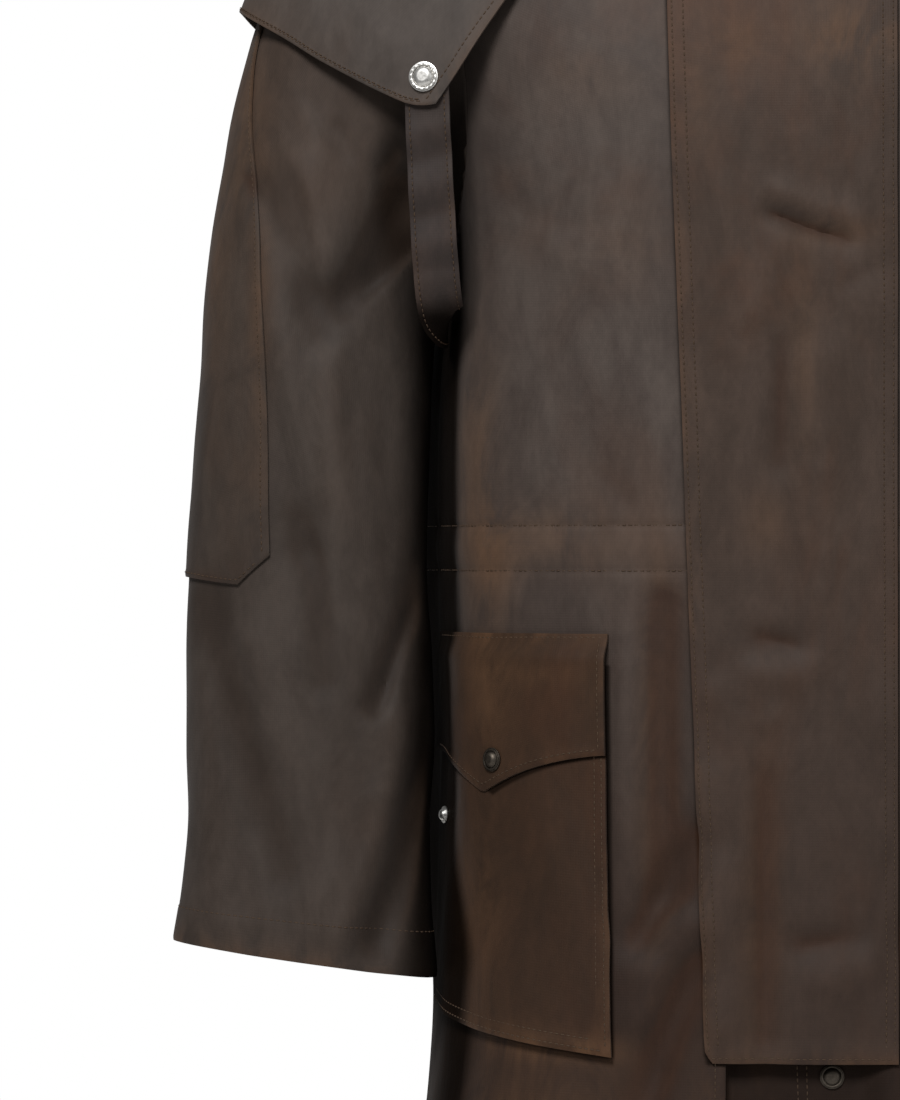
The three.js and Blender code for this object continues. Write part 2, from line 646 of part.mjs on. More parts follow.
// Places from a top height down to an edge, in from the pocket's edges by a distance.
function pocketPlaces(topZ, edge, set, farSet) {
  const inside = BODY_LEVELS.map((level) => rowAt(BODY, level).frontZ)
    .filter((z) => z < topZ - 6 && z > edge(1) + 14);
  return [topZ, ...inside, null].map((z) => {
    const heightAt = (share) => (z === null ? edge(share) : z);
    const ring = rowAt(BODY, levelAtZ(heightAt(0)));
    const near = angleAtX(ring, pocketEdgeX(heightAt(0)) - set);
    const angles = [POCKET_FAR + farSet, ...columnsBetween(-84, -36), near];
    const last = angles.length - 1;
    return angles.map((angle, i) => [angle, levelAtZ(heightAt(1 - i / last))]);
  });
}
const lifted = (distance) => (angle) => pocketOut(angle) + distance;
const layer = (places, low, high) => toManifold(
  wall(grid(bodySurface, places, high), grid(bodySurface, places, low)),
);
function pocket(side) {
  const panelPlaces = onSide(pocketPlaces(POCKET_TOP_Z, bottomEdge, 0, 0), side);
  const outerEdge = (share) => bottomEdge(share) + GUSSET_SET;
  const innerEdge = (share) => outerEdge(share) + CLOTH;
  const outer = onSide(pocketPlaces(POCKET_TOP_Z - 4, outerEdge, GUSSET_SET, 1), side);
  const inner = onSide(pocketPlaces(POCKET_TOP_Z + 6, innerEdge, GUSSET_SET + CLOTH, 2), side);
  const gusset = layer(outer, FOOT, lifted(0.6)).subtract(layer(inner, -1, lifted(0.3)));
  return fromManifold(layer(panelPlaces, lifted(0), lifted(CLOTH)).add(gusset));
}

// Pocket flap: from its seam on the front it steps out over the pocket's mouth.
const flapOver = lifted(CLOTH + FOOT + CLOTH);
const pointedEdge = (share) => lerp(
  POCKET_FLAP_SIDE_Z, POCKET_FLAP_POINT_Z, (1 - Math.abs(2 * share - 1)) ** 1.3,
);
const POCKET_FLAP_ROWS = [
  { z: () => POCKET_FLAP_TOP_Z, out: () => FOOT + CLOTH },
  { z: () => POCKET_FLAP_TOP_Z - 6, out: (angle) => lerp(FOOT + CLOTH, flapOver(angle), 0.4) },
  { z: () => POCKET_TOP_Z + 4, out: flapOver },
  { z: () => rowAt(BODY, 8).frontZ, out: flapOver },
  { z: (share) => pointedEdge(share) + 14, out: flapOver },
  { z: pointedEdge, out: flapOver },
];
function pocketFlap(side) {
  const points = (cloth) => POCKET_FLAP_ROWS.map((row) => {
    const ring = rowAt(BODY, levelAtZ(row.z(0)));
    const near = angleAtX(ring, pocketEdgeX(row.z(0)) + 1);
    const angles = [POCKET_FAR - 0.6, ...columnsBetween(-84, -36), near];
    const last = angles.length - 1;
    const places = angles.map((angle, i) => [angle, levelAtZ(row.z(1 - i / last))]);
    return grid(bodySurface, onSide([places], side), (angle) => row.out(angle) - cloth)[0];
  });
  return wall(points(0), points(CLOTH));
}

const strapPlaces = range(0, STRAP.length - 1, STRAP_LEVELS).map((level) => (
  [-1, 1].map((across) => [across, level])
));
const strapRight = sheetOn(strapSurface, strapPlaces, 0, STRAP_CLOTH);

// A domed cap with a rim, standing on a surface.
function snap(radius, height, surface, u, v, out) {
  const profile = SNAP_PROFILE.map((p) => new THREE.Vector2(p.across * radius, p.up * height));
  const cap = new THREE.LatheGeometry(profile, SNAP_SIDES).rotateX(Math.PI / 2);
  const facing = facingAt(surface, u, v);
  const place = surface(u, v).addScaledVector(facing, out);
  cap.applyQuaternion(new THREE.Quaternion().setFromUnitVectors(new THREE.Vector3(0, 0, 1), facing));
  return cap.translate(place.x, place.y, place.z);
}

// The place on a surface that is seen from the front at a point, searched ever closer.
function placeSeen(surface, x, z, middleU, middleV, reachU, reachV) {
  let best = [middleU, middleV];
  let [wideU, wideV] = [reachU, reachV];
  for (let round = 0; round < 12; round += 1) {
    const [atU, atV] = best;
    let nearest = Infinity;
    for (const du of [-1, -0.5, 0, 0.5, 1]) {
      for (const dv of [-1, -0.5, 0, 0.5, 1]) {
        const point = surface(atU + du * wideU, atV + dv * wideV);
        const away = Math.hypot(point.x - x, point.z - z);
        if (away < nearest) {
          nearest = away;
          best = [atU + du * wideU, atV + dv * wideV];
        }
      }
    }
    wideU *= 0.6;
    wideV *= 0.6;
  }
  return best;
}

// Snaps: each starts its search near the place that it has in the cut.
const CAPE_SNAP = { x: -232, z: -160 };
const POCKET_SNAP = { x: -183.5, z: -590 };
const FRONT_SNAP = { x: 24, z: -781 };
const SIDE_SNAP = { angle: -82, z: -628 };
const capeSnapPlace = placeSeen(capeSurface, CAPE_SNAP.x, CAPE_SNAP.z, 0.95, 5.3, 0.06, 0.6);
const capeSnap = snap(SNAP_RADIUS, SNAP_HEIGHT, capeSurface, ...capeSnapPlace, GAP);
const [flapSnapAngle, flapSnapLevel] = placeSeen(
  bodySurface, POCKET_SNAP.x, POCKET_SNAP.z, -60, 8.4, 15, 0.6,
);
const pocketSnap = (side) => snap(
  SMALL_SNAP_RADIUS, SNAP_HEIGHT, bodySurface, side * flapSnapAngle, flapSnapLevel,
  flapOver(flapSnapAngle) + GAP,
);
const sideSnap = (side) => snap(
  SIDE_SNAP_RADIUS, SNAP_HEIGHT, bodySurface, side * SIDE_SNAP.angle, levelAtZ(SIDE_SNAP.z),
  pocketOut(SIDE_SNAP.angle) + CLOTH + FOOT,
);
const frontSnapPlace = placeSeen(bodySurface, FRONT_SNAP.x, FRONT_SNAP.z, 6, 10, 6, 0.5);
const frontSnap = snap(
  SMALL_SNAP_RADIUS, FRONT_SNAP_HEIGHT, bodySurface, ...frontSnapPlace,
  underlapInset(...frontSnapPlace) + GAP,
);

// Finishes: colour, roughness, metalness.
const FINISH = {
  front: ['#4b413c', 0.62, 0],
  back: ['#483e39', 0.62, 0],
  flap: ['#473b34', 0.6, 0],
  sleeve: ['#3e3630', 0.62, 0],
  cape: ['#504843', 0.64, 0],
  collar: ['#4c443f', 0.66, 0],
  pocket: ['#3f3129', 0.6, 0],
  patch: ['#423730', 0.6, 0],
  strap: ['#3d3532', 0.66, 0],
  bright_metal: ['#b9b8b2', 0.3, 1],
  dark_metal: ['#5a544c', 0.42, 1],
};

const coat = new THREE.Group();
coat.name = 'duster_coat';

function add(name, finish, geometry) {
  const [color, roughness, metalness] = FINISH[finish];
  const material = new THREE.MeshStandardMaterial({ color, roughness, metalness });
  material.name = finish;
  const mesh = new THREE.Mesh(geometry, material);
  mesh.name = name;
  coat.add(mesh);
}

function addPair(name, finish, right, left = mirrored(right)) {
  add(`${name}_right`, finish, right);
  add(`${name}_left`, finish, left);
}

add('back', 'back', back);
add('front_right', 'front', frontRight);
add('front_left', 'front', frontLeft);
add('storm_flap', 'flap', stormFlap);
addPair('sleeve', 'sleeve', sleeveRight, sleeveLeft);
addPair('elbow_patch', 'patch', patchRight);
add('cape', 'cape', cape);
add('collar', 'collar', collar);
addPair('cape_strap', 'strap', strapRight);
addPair('pocket', 'pocket', pocket(RIGHT), pocket(LEFT));
addPair('pocket_flap', 'pocket', pocketFlap(RIGHT), pocketFlap(LEFT));
addPair('cape_snap', 'bright_metal', capeSnap);
addPair('pocket_snap', 'dark_metal', pocketSnap(RIGHT), pocketSnap(LEFT));
addPair('side_snap', 'bright_metal', sideSnap(RIGHT), sideSnap(LEFT));
add('front_snap', 'bright_metal', frontSnap);

export default coat;
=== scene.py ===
"""Dress the waxed-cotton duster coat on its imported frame.

The coat is filled out as worn, with no wearer. Each cloth piece is a thin shell on the
sections of its solid, cut finer, with its creases, turned edges, stitches and waxed
finish. Tables hold millimetres, and meshes are made in metres.
"""
import logging
import math
from collections.abc import Callable, Iterable, Sequence
from dataclasses import dataclass, field
from enum import Enum
from typing import ClassVar

import bpy
import numpy as np
from mathutils import Matrix, Vector


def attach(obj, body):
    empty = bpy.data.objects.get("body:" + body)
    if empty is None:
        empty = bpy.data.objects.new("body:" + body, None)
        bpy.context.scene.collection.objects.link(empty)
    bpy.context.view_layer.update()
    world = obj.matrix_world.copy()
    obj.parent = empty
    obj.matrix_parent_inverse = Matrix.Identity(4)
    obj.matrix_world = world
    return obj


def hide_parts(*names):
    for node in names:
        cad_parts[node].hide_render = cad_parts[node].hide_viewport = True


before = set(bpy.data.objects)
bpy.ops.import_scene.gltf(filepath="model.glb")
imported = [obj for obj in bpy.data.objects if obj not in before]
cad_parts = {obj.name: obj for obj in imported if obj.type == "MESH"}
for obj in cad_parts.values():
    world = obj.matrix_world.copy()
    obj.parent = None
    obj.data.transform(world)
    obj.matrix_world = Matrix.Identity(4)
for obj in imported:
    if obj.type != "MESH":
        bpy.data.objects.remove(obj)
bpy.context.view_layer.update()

LOG = logging.getLogger("duster_coat")
MM = 0.001
FAR = 30.0  # millimetres, past the reach of anything that depends on an edge

Numbers = np.ndarray | float
Field = Callable[[np.ndarray, np.ndarray], Numbers]

# Sizes shared by the pieces, in millimetres
CLOTH = 1.8  # one layer of waxed cotton with its turnings
GAP = 0.35  # air between two pieces at a seam
FOOT = 0.85  # air under the pocket and its gusset, on curved cloth
HEM_Z = -1250.0
FLUTE_TOP = -560.0
EDGE_X = 42.0
UNDERLAP_X = -58.0
FLAP_SEAM_X = 64.0
FLAP_BOTTOM_Z = -774.0
POCKET_TOP_Z = -530.0
POCKET_FLAP_TOP_Z = -510.0
POCKET_BOTTOM_Z = -772.0
POCKET_FAR = -87.0  # degrees round the body, just in front of the side seam


class Side(Enum):
    """The wearer's side that a piece of a pair is on."""

    RIGHT = 1
    LEFT = -1


class Rings:
    """A table of rings with named columns, read on a smooth curve between its rows."""

    def __init__(self, columns: str, rows: Sequence[Sequence[float]]) -> None:
        """Keep the rows under the names of their columns.

        Args:
            columns: The names of the columns, with spaces between them.
            rows: The rings, from the first to the last.
        """
        self.names = columns.split()
        self.rows = np.array(rows, dtype=float)
        self.last = len(rows) - 1

    def at(self, level: Numbers) -> dict[str, np.ndarray]:
        """Read every column at levels between the rows.

        Args:
            level: Places along the table, where 0 is its first row.

        Returns:
            The value of each column at each level.
        """
        level = np.asarray(level, dtype=float)
        i = np.clip(np.floor(level).astype(int), 0, self.last - 1)
        t = (level - i)[..., None]
        a, b, c, d = (self.rows[np.clip(i + k, 0, self.last)] for k in (-1, 0, 1, 2))
        values = b + 0.5 * t * (
            c - a + t * (2 * a - 5 * b + 4 * c - d + t * (3 * (b - c) + d - a))
        )
        return {name: values[..., k] for k, name in enumerate(self.names)}

    def level_of(self, column: str, value: Numbers) -> np.ndarray:
        """Find the level at which a column that falls along the table has a value.

        Args:
            column: The column's name.
            value: The values to find.

        Returns:
            The level of each value.
        """
        value = np.asarray(value, dtype=float)
        low = np.zeros_like(value)
        high = np.full_like(value, self.last)
        for _ in range(40):
            middle = (low + high) / 2
            above = self.at(middle)[column] > value
            low = np.where(above, middle, low)
            high = np.where(above, high, middle)
        return (low + high) / 2


def smooth(value: Numbers, start: float, end: float) -> np.ndarray:
    """Rise softly from 0 at start to 1 at end."""
    t = np.clip((np.asarray(value, dtype=float) - start) / (end - start), 0, 1)
    return t * t * (3 - 2 * t)


def lerp(low: Numbers, high: Numbers, share: Numbers) -> Numbers:
    """Give the value at a share of the way from low to high."""
    return low + (high - low) * share


def power(value: np.ndarray, exponent: Numbers) -> np.ndarray:
    """Raise a value's size to a power and keep its sign."""
    return np.sign(value) * np.abs(value) ** exponent


def unit(vectors: np.ndarray) -> np.ndarray:
    """Scale vectors to a length of 1."""
    return vectors / np.maximum(np.linalg.norm(vectors, axis=-1, keepdims=True), 1e-9)


@dataclass(frozen=True)
class Folds:
    """Soft ridges and troughs, each between two points seen from the front or the back.

    A row is x0, z0, x1, z1, width and height, where height is outwards.
    """

    rows: Sequence[Sequence[float]]

    def height(self, x: np.ndarray, z: np.ndarray) -> np.ndarray:
        """Add up how far the folds move the cloth outwards.

        Args:
            x: Distances from the middle.
            z: Heights.

        Returns:
            The movement at each place.
        """
        out = np.zeros_like(x)
        for x0, z0, x1, z1, width, height in self.rows:
            run_x, run_z = x1 - x0, z1 - z0
            share = ((x - x0) * run_x + (z - z0) * run_z) / (run_x**2 + run_z**2)
            share = np.clip(share, 0, 1)
            away = np.hypot(x - x0 - share * run_x, z - z0 - share * run_z)
            out += height * np.exp(-((away / width) ** 2))
        return out


@dataclass(frozen=True)
class Creases:
    """Creases with one crisp flank and one soft one, fading at both ends.

    A row is x0, z0, x1, z1, bow, crisp, soft and height. Looking down along a crease that
    runs downwards, its crisp flank is towards the wearer's right.
    """

    rows: Sequence[Sequence[float]]

    def height(self, x: np.ndarray, z: np.ndarray) -> np.ndarray:
        """Add up how far the creases move the cloth outwards.

        Args:
            x: Distances from the middle.
            z: Heights.

        Returns:
            The movement at each place.
        """
        out = np.zeros_like(x)
        for x0, z0, x1, z1, bow, crisp, soft, height in self.rows:
            length = math.hypot(x1 - x0, z1 - z0)
            run_x, run_z = (x1 - x0) / length, (z1 - z0) / length
            share = ((x - x0) * run_x + (z - z0) * run_z) / length
            bend = bow * 4 * np.clip(share, 0, 1) * (1 - np.clip(share, 0, 1))
            away = (x - x0) * run_z - (z - z0) * run_x - bend
            width = np.where(away > 0, crisp, soft)
            fade = smooth(share, -0.1, 0.25) * (1 - smooth(share, 0.7, 1.1))
            out += height * fade * np.exp(-((away / width) ** 2))
        return out


def unevenness(points: np.ndarray, size: float, seed: float) -> np.ndarray:
    """Give soft waves with no pattern, longer down the cloth than across it.

    Args:
        points: Places in space.
        size: The waves' usual length across.
        seed: A number that sets the waves apart from others.

    Returns:
        A value of about -1 to 1 at each place.
    """
    out = np.zeros(points.shape[:-1])
    for k in range(7):
        turn = seed * 1.7 + k * 2.399
        rise = math.sin(seed + k * 1.3) * 0.45
        way = np.array([math.cos(turn), math.sin(turn), rise])
        length = size * (0.55 + 0.19 * k)
        out += np.sin(points @ way * (2 * math.pi / length) + seed * 3.1 + k * k)
    return out / 3.2


# Rings of the body, the cape and a sleeve, as the solids have them
RING = "side_z half_width front_z front_depth back_z back_depth power"
BODY = Rings(RING + " fullness", [
    [0, 86, -58, 70, 4, 60, 2.0, 0],
    [-14, 140, -74, 96, -10, 88, 2.15, 0],
    [-38, 208, -108, 118, -46, 118, 2.3, 0],
    [-86, 236, -158, 130, -116, 131, 2.4, 0],
    [-160, 231, -212, 134, -186, 136, 2.4, 0],
    [-262, 218, -275, 134, -268, 135, 2.4, 6],
    [-350, 220, -350, 132, -350, 130, 2.4, 27],
    [-455, 221, -455, 130, -455, 126, 2.4, 30],
    [-550, 219, -550, 136, -550, 132, 2.4, 28],
    [-650, 221, -650, 146, -650, 144, 2.4, 28],
    [-774, 230, -774, 161, -774, 162, 2.4, 9],
    [-930, 250, -930, 181, -930, 184, 2.35, 0],
    [-1090, 268, -1090, 199, -1090, 204, 2.3, 0],
    [HEM_Z, 286, HEM_Z, 215, HEM_Z, 221, 2.3, 0],
])
FULLNESS_ANGLE = 106.0  # where the back stands out most behind the arms
FULLNESS_SPREAD = 15.0
CAPE = Rings(RING + " edge_x", [
    [5, 92, -42, 78, 11, 66, 2.0, 86],
    [-4, 132, -60, 96, 0, 86, 2.1, 106],
    [-19, 188, -86, 115, -26, 112, 2.2, 136],
    [-34, 252, -122, 127, -74, 132, 2.2, 164],
    [-56, 310, -160, 131, -138, 143, 2.2, 190],
    [-84, 347, -192, 132, -210, 148, 2.2, 210],
    [-108, 360, -226, 132, -285, 152, 2.2, 228],
])
SLEEVE = Rings("outer_x outer_z inner_x inner_z depth forward patch_angle", [
    [190, -46, 186, -250, 72, 0, 12],
    [232, -46, 212, -262, 76, 0, 12],
    [270, -52, 219, -271, 77, 0, 12],
    [306, -68, 224, -282, 76, 0, 13],
    [336, -98, 228, -295, 74, 0, 16],
    [353, -142, 231, -313, 71, 4, 28],
    [365, -200, 233, -339, 68, 11, 51],
    [375, -268, 234, -373, 66, 20, 64],
    [380, -345, 235, -415, 64, 27, 71],
    [386, -425, 236, -462, 60, 33, 75],
    [389, -505, 232, -516, 56, 40, 77],
    [389, -585, 230, -577, 52, 46, 77],
    [388, -642, 232, -644, 47, 54, 77],
    [395, -706, 227, -729, 40, 66, 77],
])
STRAP = Rings("x y z wide_x wide_y wide_z", [
    [231, -102, -152, 1, -0.24, 0],
    [230, -103.6, -186, 1, -0.22, 0],
    [227.5, -101, -240, 1, -0.14, 0],
    [225, -94, -285, 1, -0.06, 0.02],
    [223, -80, -306, 0.94, 0, 0.28],
    [220, -64, -314, 0.5, 0, 0.87],
    [220.5, -45, -314, 0.1, 0, 1],
    [223, -26, -312, 0, 0, 1],
])
COLLAR = Rings("out up drop", [
    [0.5, 1.1, 0],
    [2, 16, 0],
    [4, 32, 0],
    [10, 41, 0],
    [18, 39, 0.1],
    [25, 28, 0.35],
    [33, 16, 0.7],
    [42, 5, 1],
])

# Waves of the skirt: angle round the body, spread, and height at the hem
FLUTES = [
    (-158, 15, 11), (-130, 13, -9), (-102, 14, 10), (-72, 12, -7), (-46, 11, 8),
    (-24, 9, -6), (26, 9, -5), (50, 12, 9), (76, 12, -8), (104, 15, 11),
    (134, 14, -10), (162, 13, 9), (180, 10, -8),
]

# The large folds, as the solids have them
FRONT_FOLDS = Folds([
    [-80, -490, -82, -670, 13, -4],
    [-100, -480, -102, -680, 9, 2],
    [-58, -640, -92, -700, 14, -5],
    [-64, -690, -92, -748, 12, 3],
    [-60, -715, -96, -800, 15, -5],
    [-150, -330, -120, -425, 26, -1.3],
    [-190, -220, -150, -290, 24, -1.3],
    [150, -300, 118, -420, 26, -1.6],
    [88, -500, 92, -690, 12, -4],
    [74, -700, 96, -800, 14, -5],
    [190, -215, 152, -280, 24, -1.6],
])
BACK_FOLDS = Folds([
    [-60, -330, -120, -440, 26, -4],
    [70, -320, 110, -450, 24, -4],
    [-10, -470, -30, -620, 22, -4],
    [30, -500, 60, -680, 24, -4],
    [-130, -470, -100, -640, 24, -4],
    [140, -480, 120, -600, 22, -3],
])
FLAP_FOLDS = Folds([
    [-12, -249, 33, -265, 7, -3.4],
    [-8, -236, 36, -252, 9, 3.4],
    [-10, -268, -34, -330, 11, 2.4],
    [-7, -330, -8, -402, 11, -2.4],
    [14, -340, 16, -450, 14, 2.2],
    [-31, -512, 0, -519, 10, -3],
    [-22, -535, 8, -532, 12, 2.6],
    [-48, -546, -14, -562, 10, 2],
    [-20, -600, -19, -760, 12, -3],
    [-48, -600, -44, -750, 11, 2],
    [6, -702, 34, -698, 10, -2.6],
    [20, -722, 52, -712, 12, 2.6],
])
SLEEVE_FRONT_FOLDS = Folds([
    [250, -235, 286, -298, 14, -9],
    [308, -218, 304, -268, 24, 6],
    [338, -222, 300, -322, 11, -4],
    [325, -330, 292, -440, 20, 4],
    [336, -330, 312, -455, 13, -3],
    [238, -470, 266, -556, 9, -6],
    [246, -520, 262, -610, 10, 2],
    [372, -490, 318, -660, 18, -5],
    [350, -520, 296, -690, 16, 4],
    [308, -440, 296, -540, 12, -3],
    [216, -550, 263, -702, 13, -9],
    [238, -560, 284, -700, 9, 3],
    [384, -540, 362, -690, 16, 3],
])
SLEEVE_BACK_FOLDS = Folds([
    [262, -330, 330, -400, 16, -8],
    [258, -400, 344, -440, 15, -7],
    [270, -470, 352, -500, 16, -6],
    [260, -365, 340, -420, 10, 3],
    [330, -540, 300, -690, 18, -4],
    [270, -560, 262, -690, 16, 4],
    [300, -180, 280, -290, 22, -5],
])
CAPE_FRONT_FOLDS = Folds([
    [-300, -50, -318, -120, 22, -3],
    [-205, -60, -245, -150, 26, 2.5],
    [300, -50, 318, -120, 22, -3],
    [205, -60, 245, -150, 26, 2.5],
])
CAPE_BACK_FOLDS = Folds([
    [-150, -120, -190, -290, 24, -6],
    [-70, -140, -86, -300, 22, 5],
    [20, -140, 18, -300, 22, -5],
    [100, -140, 120, -300, 24, 5],
    [190, -110, 230, -270, 24, -6],
])

# Finer creases, listed where the cloth has them
FRONT_CREASES = Creases([
    [-186, -232, -120, -258, 5, 5, 12, -0.9],
    [-170, -262, -112, -300, -6, 6, 13, 1.4],
    [-196, -330, -150, -402, 6, 6, 14, -0.9],
    [-128, -402, -96, -436, -3, 5, 9, -1.2],
    [-92, -346, -76, -424, 3, 5, 10, 1.1],
    [-186, -486, -150, -498, 2, 5, 8, 1.2],
    [-89, -466, -84, -656, 0, 6, 9, -2.4],
    [-106, -500, -104, -656, 0, 6, 7, 1.8],
    [-66, -636, -102, -706, 4, 6, 9, -3.2],
    [-70, -674, -103, -732, 3, 6, 9, 2.8],
    [-62, -706, -92, -806, 5, 7, 11, -3.6],
    [-150, -790, -176, -930, 6, 8, 18, 2.0],
    [120, -300, 180, -250, -5, 6, 13, -1.5],
    [96, -360, 132, -430, 4, 6, 12, 1.3],
    [86, -520, 98, -640, -3, 5, 10, 1.4],
    [150, -800, 178, -960, -6, 8, 18, 2.0],
])
BACK_CREASES = Creases([
    [-170, -250, -96, -306, 8, 7, 16, -1.8],
    [168, -240, 88, -312, -8, 7, 16, -1.8],
    [-150, -396, -80, -446, 6, 6, 14, -1.6],
    [40, -398, 118, -440, -5, 6, 13, -1.6],
    [-52, -480, -70, -610, 4, 6, 14, 1.6],
    [96, -486, 92, -640, -4, 6, 14, 1.6],
    [-10, -300, -26, -420, 5, 7, 16, 1.4],
    [-212, -276, -213, -372, 0, 10, 10, 10.0],
    [212, -276, 213, -372, 0, 10, 10, 10.0],
])
FLAP_CREASES = Creases([
    [-16, -247, 34, -264, 3, 4, 6, -1.9],
    [30, -248, 33, -262, 0, 4, 5, -1.4],
    [60, -279, 27, -296, 3, 4, 8, -1.5],
    [-13, -313, -37, -331, 2, 4, 7, -1.3],
    [-28, -375, -51, -395, -2, 4, 7, -1.2],
    [-8, -332, -7, -402, 1, 4, 7, -1.1],
    [6, -390, 17, -405, 0, 4, 6, -1.1],
    [-30, -511, 2, -519, -2, 4, 7, -1.3],
    [-47, -545, -12, -563, 2, 4, 7, -1.2],
    [2, -703, 30, -698, 1, 4, 7, -1.2],
    [-36, -640, -34, -760, 2, 4, 8, 0.9],
    [-21, -596, -19, -768, 0, 11, 13, -1.7],
])
SLEEVE_FRONT_CREASES = Creases([
    [236, -482, 263, -566, -3, 10, 5, -4.8],
    [226, -552, 276, -702, 3, 6, 15, 3.0],
    [214, -560, 258, -704, 3, 14, 10, -1.6],
    [238, -256, 281, -300, 2, 5, 11, -6.5],
    [246, -200, 268, -222, 2, 4, 9, -2.6],
    [330, -206, 304, -312, 8, 7, 12, -3.4],
    [288, -318, 280, -440, -5, 7, 14, 3.6],
    [318, -300, 300, -470, 6, 8, 14, -2.4],
    [292, -184, 283, -214, 2, 5, 8, -1.6],
    [318, -170, 300, -204, 2, 5, 8, 1.4],
    [262, -380, 244, -470, 4, 6, 12, -2.0],
    [362, -500, 338, -572, 3, 8, 16, -1.8],
    [338, -572, 309, -668, 5, 8, 16, -2.0],
    [304, -442, 294, -528, 2, 6, 12, -1.6],
    [270, -610, 300, -690, 4, 6, 12, 1.6],
    [340, -636, 330, -706, 0, 7, 12, 1.3],
    [352, -212, 340, -236, 0, 4, 7, -1.4],
])
SLEEVE_BACK_CREASES = Creases([
    [252, -344, 334, -392, 6, 6, 13, -3.0],
    [254, -408, 346, -446, 6, 6, 13, -3.0],
    [262, -470, 350, -492, 4, 6, 13, -2.4],
    [300, -520, 282, -620, 4, 7, 14, 1.8],
    [340, -560, 322, -690, -4, 7, 14, 1.6],
    [276, -200, 262, -300, 6, 8, 14, -2.4],
])
CAPE_CREASES = Creases([
    [-292, -96, -246, -140, 4, 6, 12, 1.0],
    [-330, -90, -318, -120, 2, 6, 10, -0.9],
    [292, -96, 246, -140, -4, 6, 12, 1.0],
])
CAPE_BACK_CREASES = Creases([
    [-230, -120, -262, -250, 6, 8, 18, 2.2],
    [-120, -160, -140, -300, 5, 8, 18, -2.4],
    [-30, -180, -36, -300, 3, 8, 18, 2.0],
    [62, -170, 70, -300, -3, 8, 18, -2.2],
    [160, -150, 180, -290, -5, 8, 18, 2.2],
    [262, -110, 290, -210, -4, 8, 16, -2.0],
])


class Surface:
    """The outer face of cloth, as places (u, v) that give points in space."""

    step_u = 0.5
    step_v = 0.01

    def points(self, u: np.ndarray, v: np.ndarray) -> np.ndarray:
        """Give the point of each place, in millimetres."""
        raise NotImplementedError

    def facing(self, u: np.ndarray, v: np.ndarray) -> np.ndarray:
        """Give the outward direction at each place."""
        along_u = self.points(u + self.step_u, v) - self.points(u - self.step_u, v)
        along_v = self.points(u, v + self.step_v) - self.points(u, v - self.step_v)
        return unit(np.cross(along_v, along_u))

    def lifted(self, u: np.ndarray, v: np.ndarray, out: Numbers) -> np.ndarray:
        """Give points that stand off the face.

        Args:
            u: Places across.
            v: Places down.
            out: The distance off the face at each place.

        Returns:
            A point for each place.
        """
        distance = np.broadcast_to(np.asarray(out, dtype=float), u.shape)
        return self.points(u, v) + self.facing(u, v) * distance[..., None]

    def relief(self, u: np.ndarray, v: np.ndarray) -> np.ndarray:
        """Give how far folds and creases move each place outwards."""
        return np.zeros_like(u)

    def painted_shade(self, point: np.ndarray) -> np.ndarray:
        """Give how much painted shade darkens each point, from 0 to 1."""
        return np.zeros(point.shape[:-1])


def ring_point(ring: dict[str, np.ndarray], angle: np.ndarray) -> np.ndarray:
    """Give the point of a flattened ring at an angle.

    Args:
        ring: The ring's columns.
        angle: Degrees, where 0 is the middle of the front and 90 the left side.

    Returns:
        A point for each angle.
    """
    s, c = np.sin(np.radians(angle)), np.cos(np.radians(angle))
    depth = np.where(c > 0, ring["front_depth"], ring["back_depth"])
    middle_z = np.where(c > 0, ring["front_z"], ring["back_z"])
    return np.stack([
        ring["half_width"] * power(s, 2 / ring["power"]),
        -depth * power(c, 2 / ring["power"]),
        ring["side_z"] + (middle_z - ring["side_z"]) * c * c,
    ], axis=-1)


def angle_at_x(ring: dict[str, np.ndarray], x: Numbers) -> np.ndarray:
    """Give the angle on a ring's front at a distance from the middle."""
    share = np.minimum(np.abs(x) / ring["half_width"], 1)
    return np.sign(x) * np.degrees(np.arcsin(share ** (ring["power"] / 2)))


def seam_angle(level: Numbers) -> np.ndarray:
    """Give the angle at which a front panel stops short of its side seam."""
    ring = BODY.at(level)
    return np.degrees(np.arccos((0.02 / ring["front_depth"]) ** (ring["power"] / 2)))


def scaled_x(ring: dict[str, np.ndarray], x: Numbers) -> np.ndarray:
    """Shrink a distance from the middle towards the neck, with the ring it is on."""
    return x * np.minimum(1, ring["half_width"] / BODY.rows[2, 1])


def level_at_z(z: Numbers) -> np.ndarray:
    """Give the body's level whose front is at a height."""
    return BODY.level_of("front_z", z)


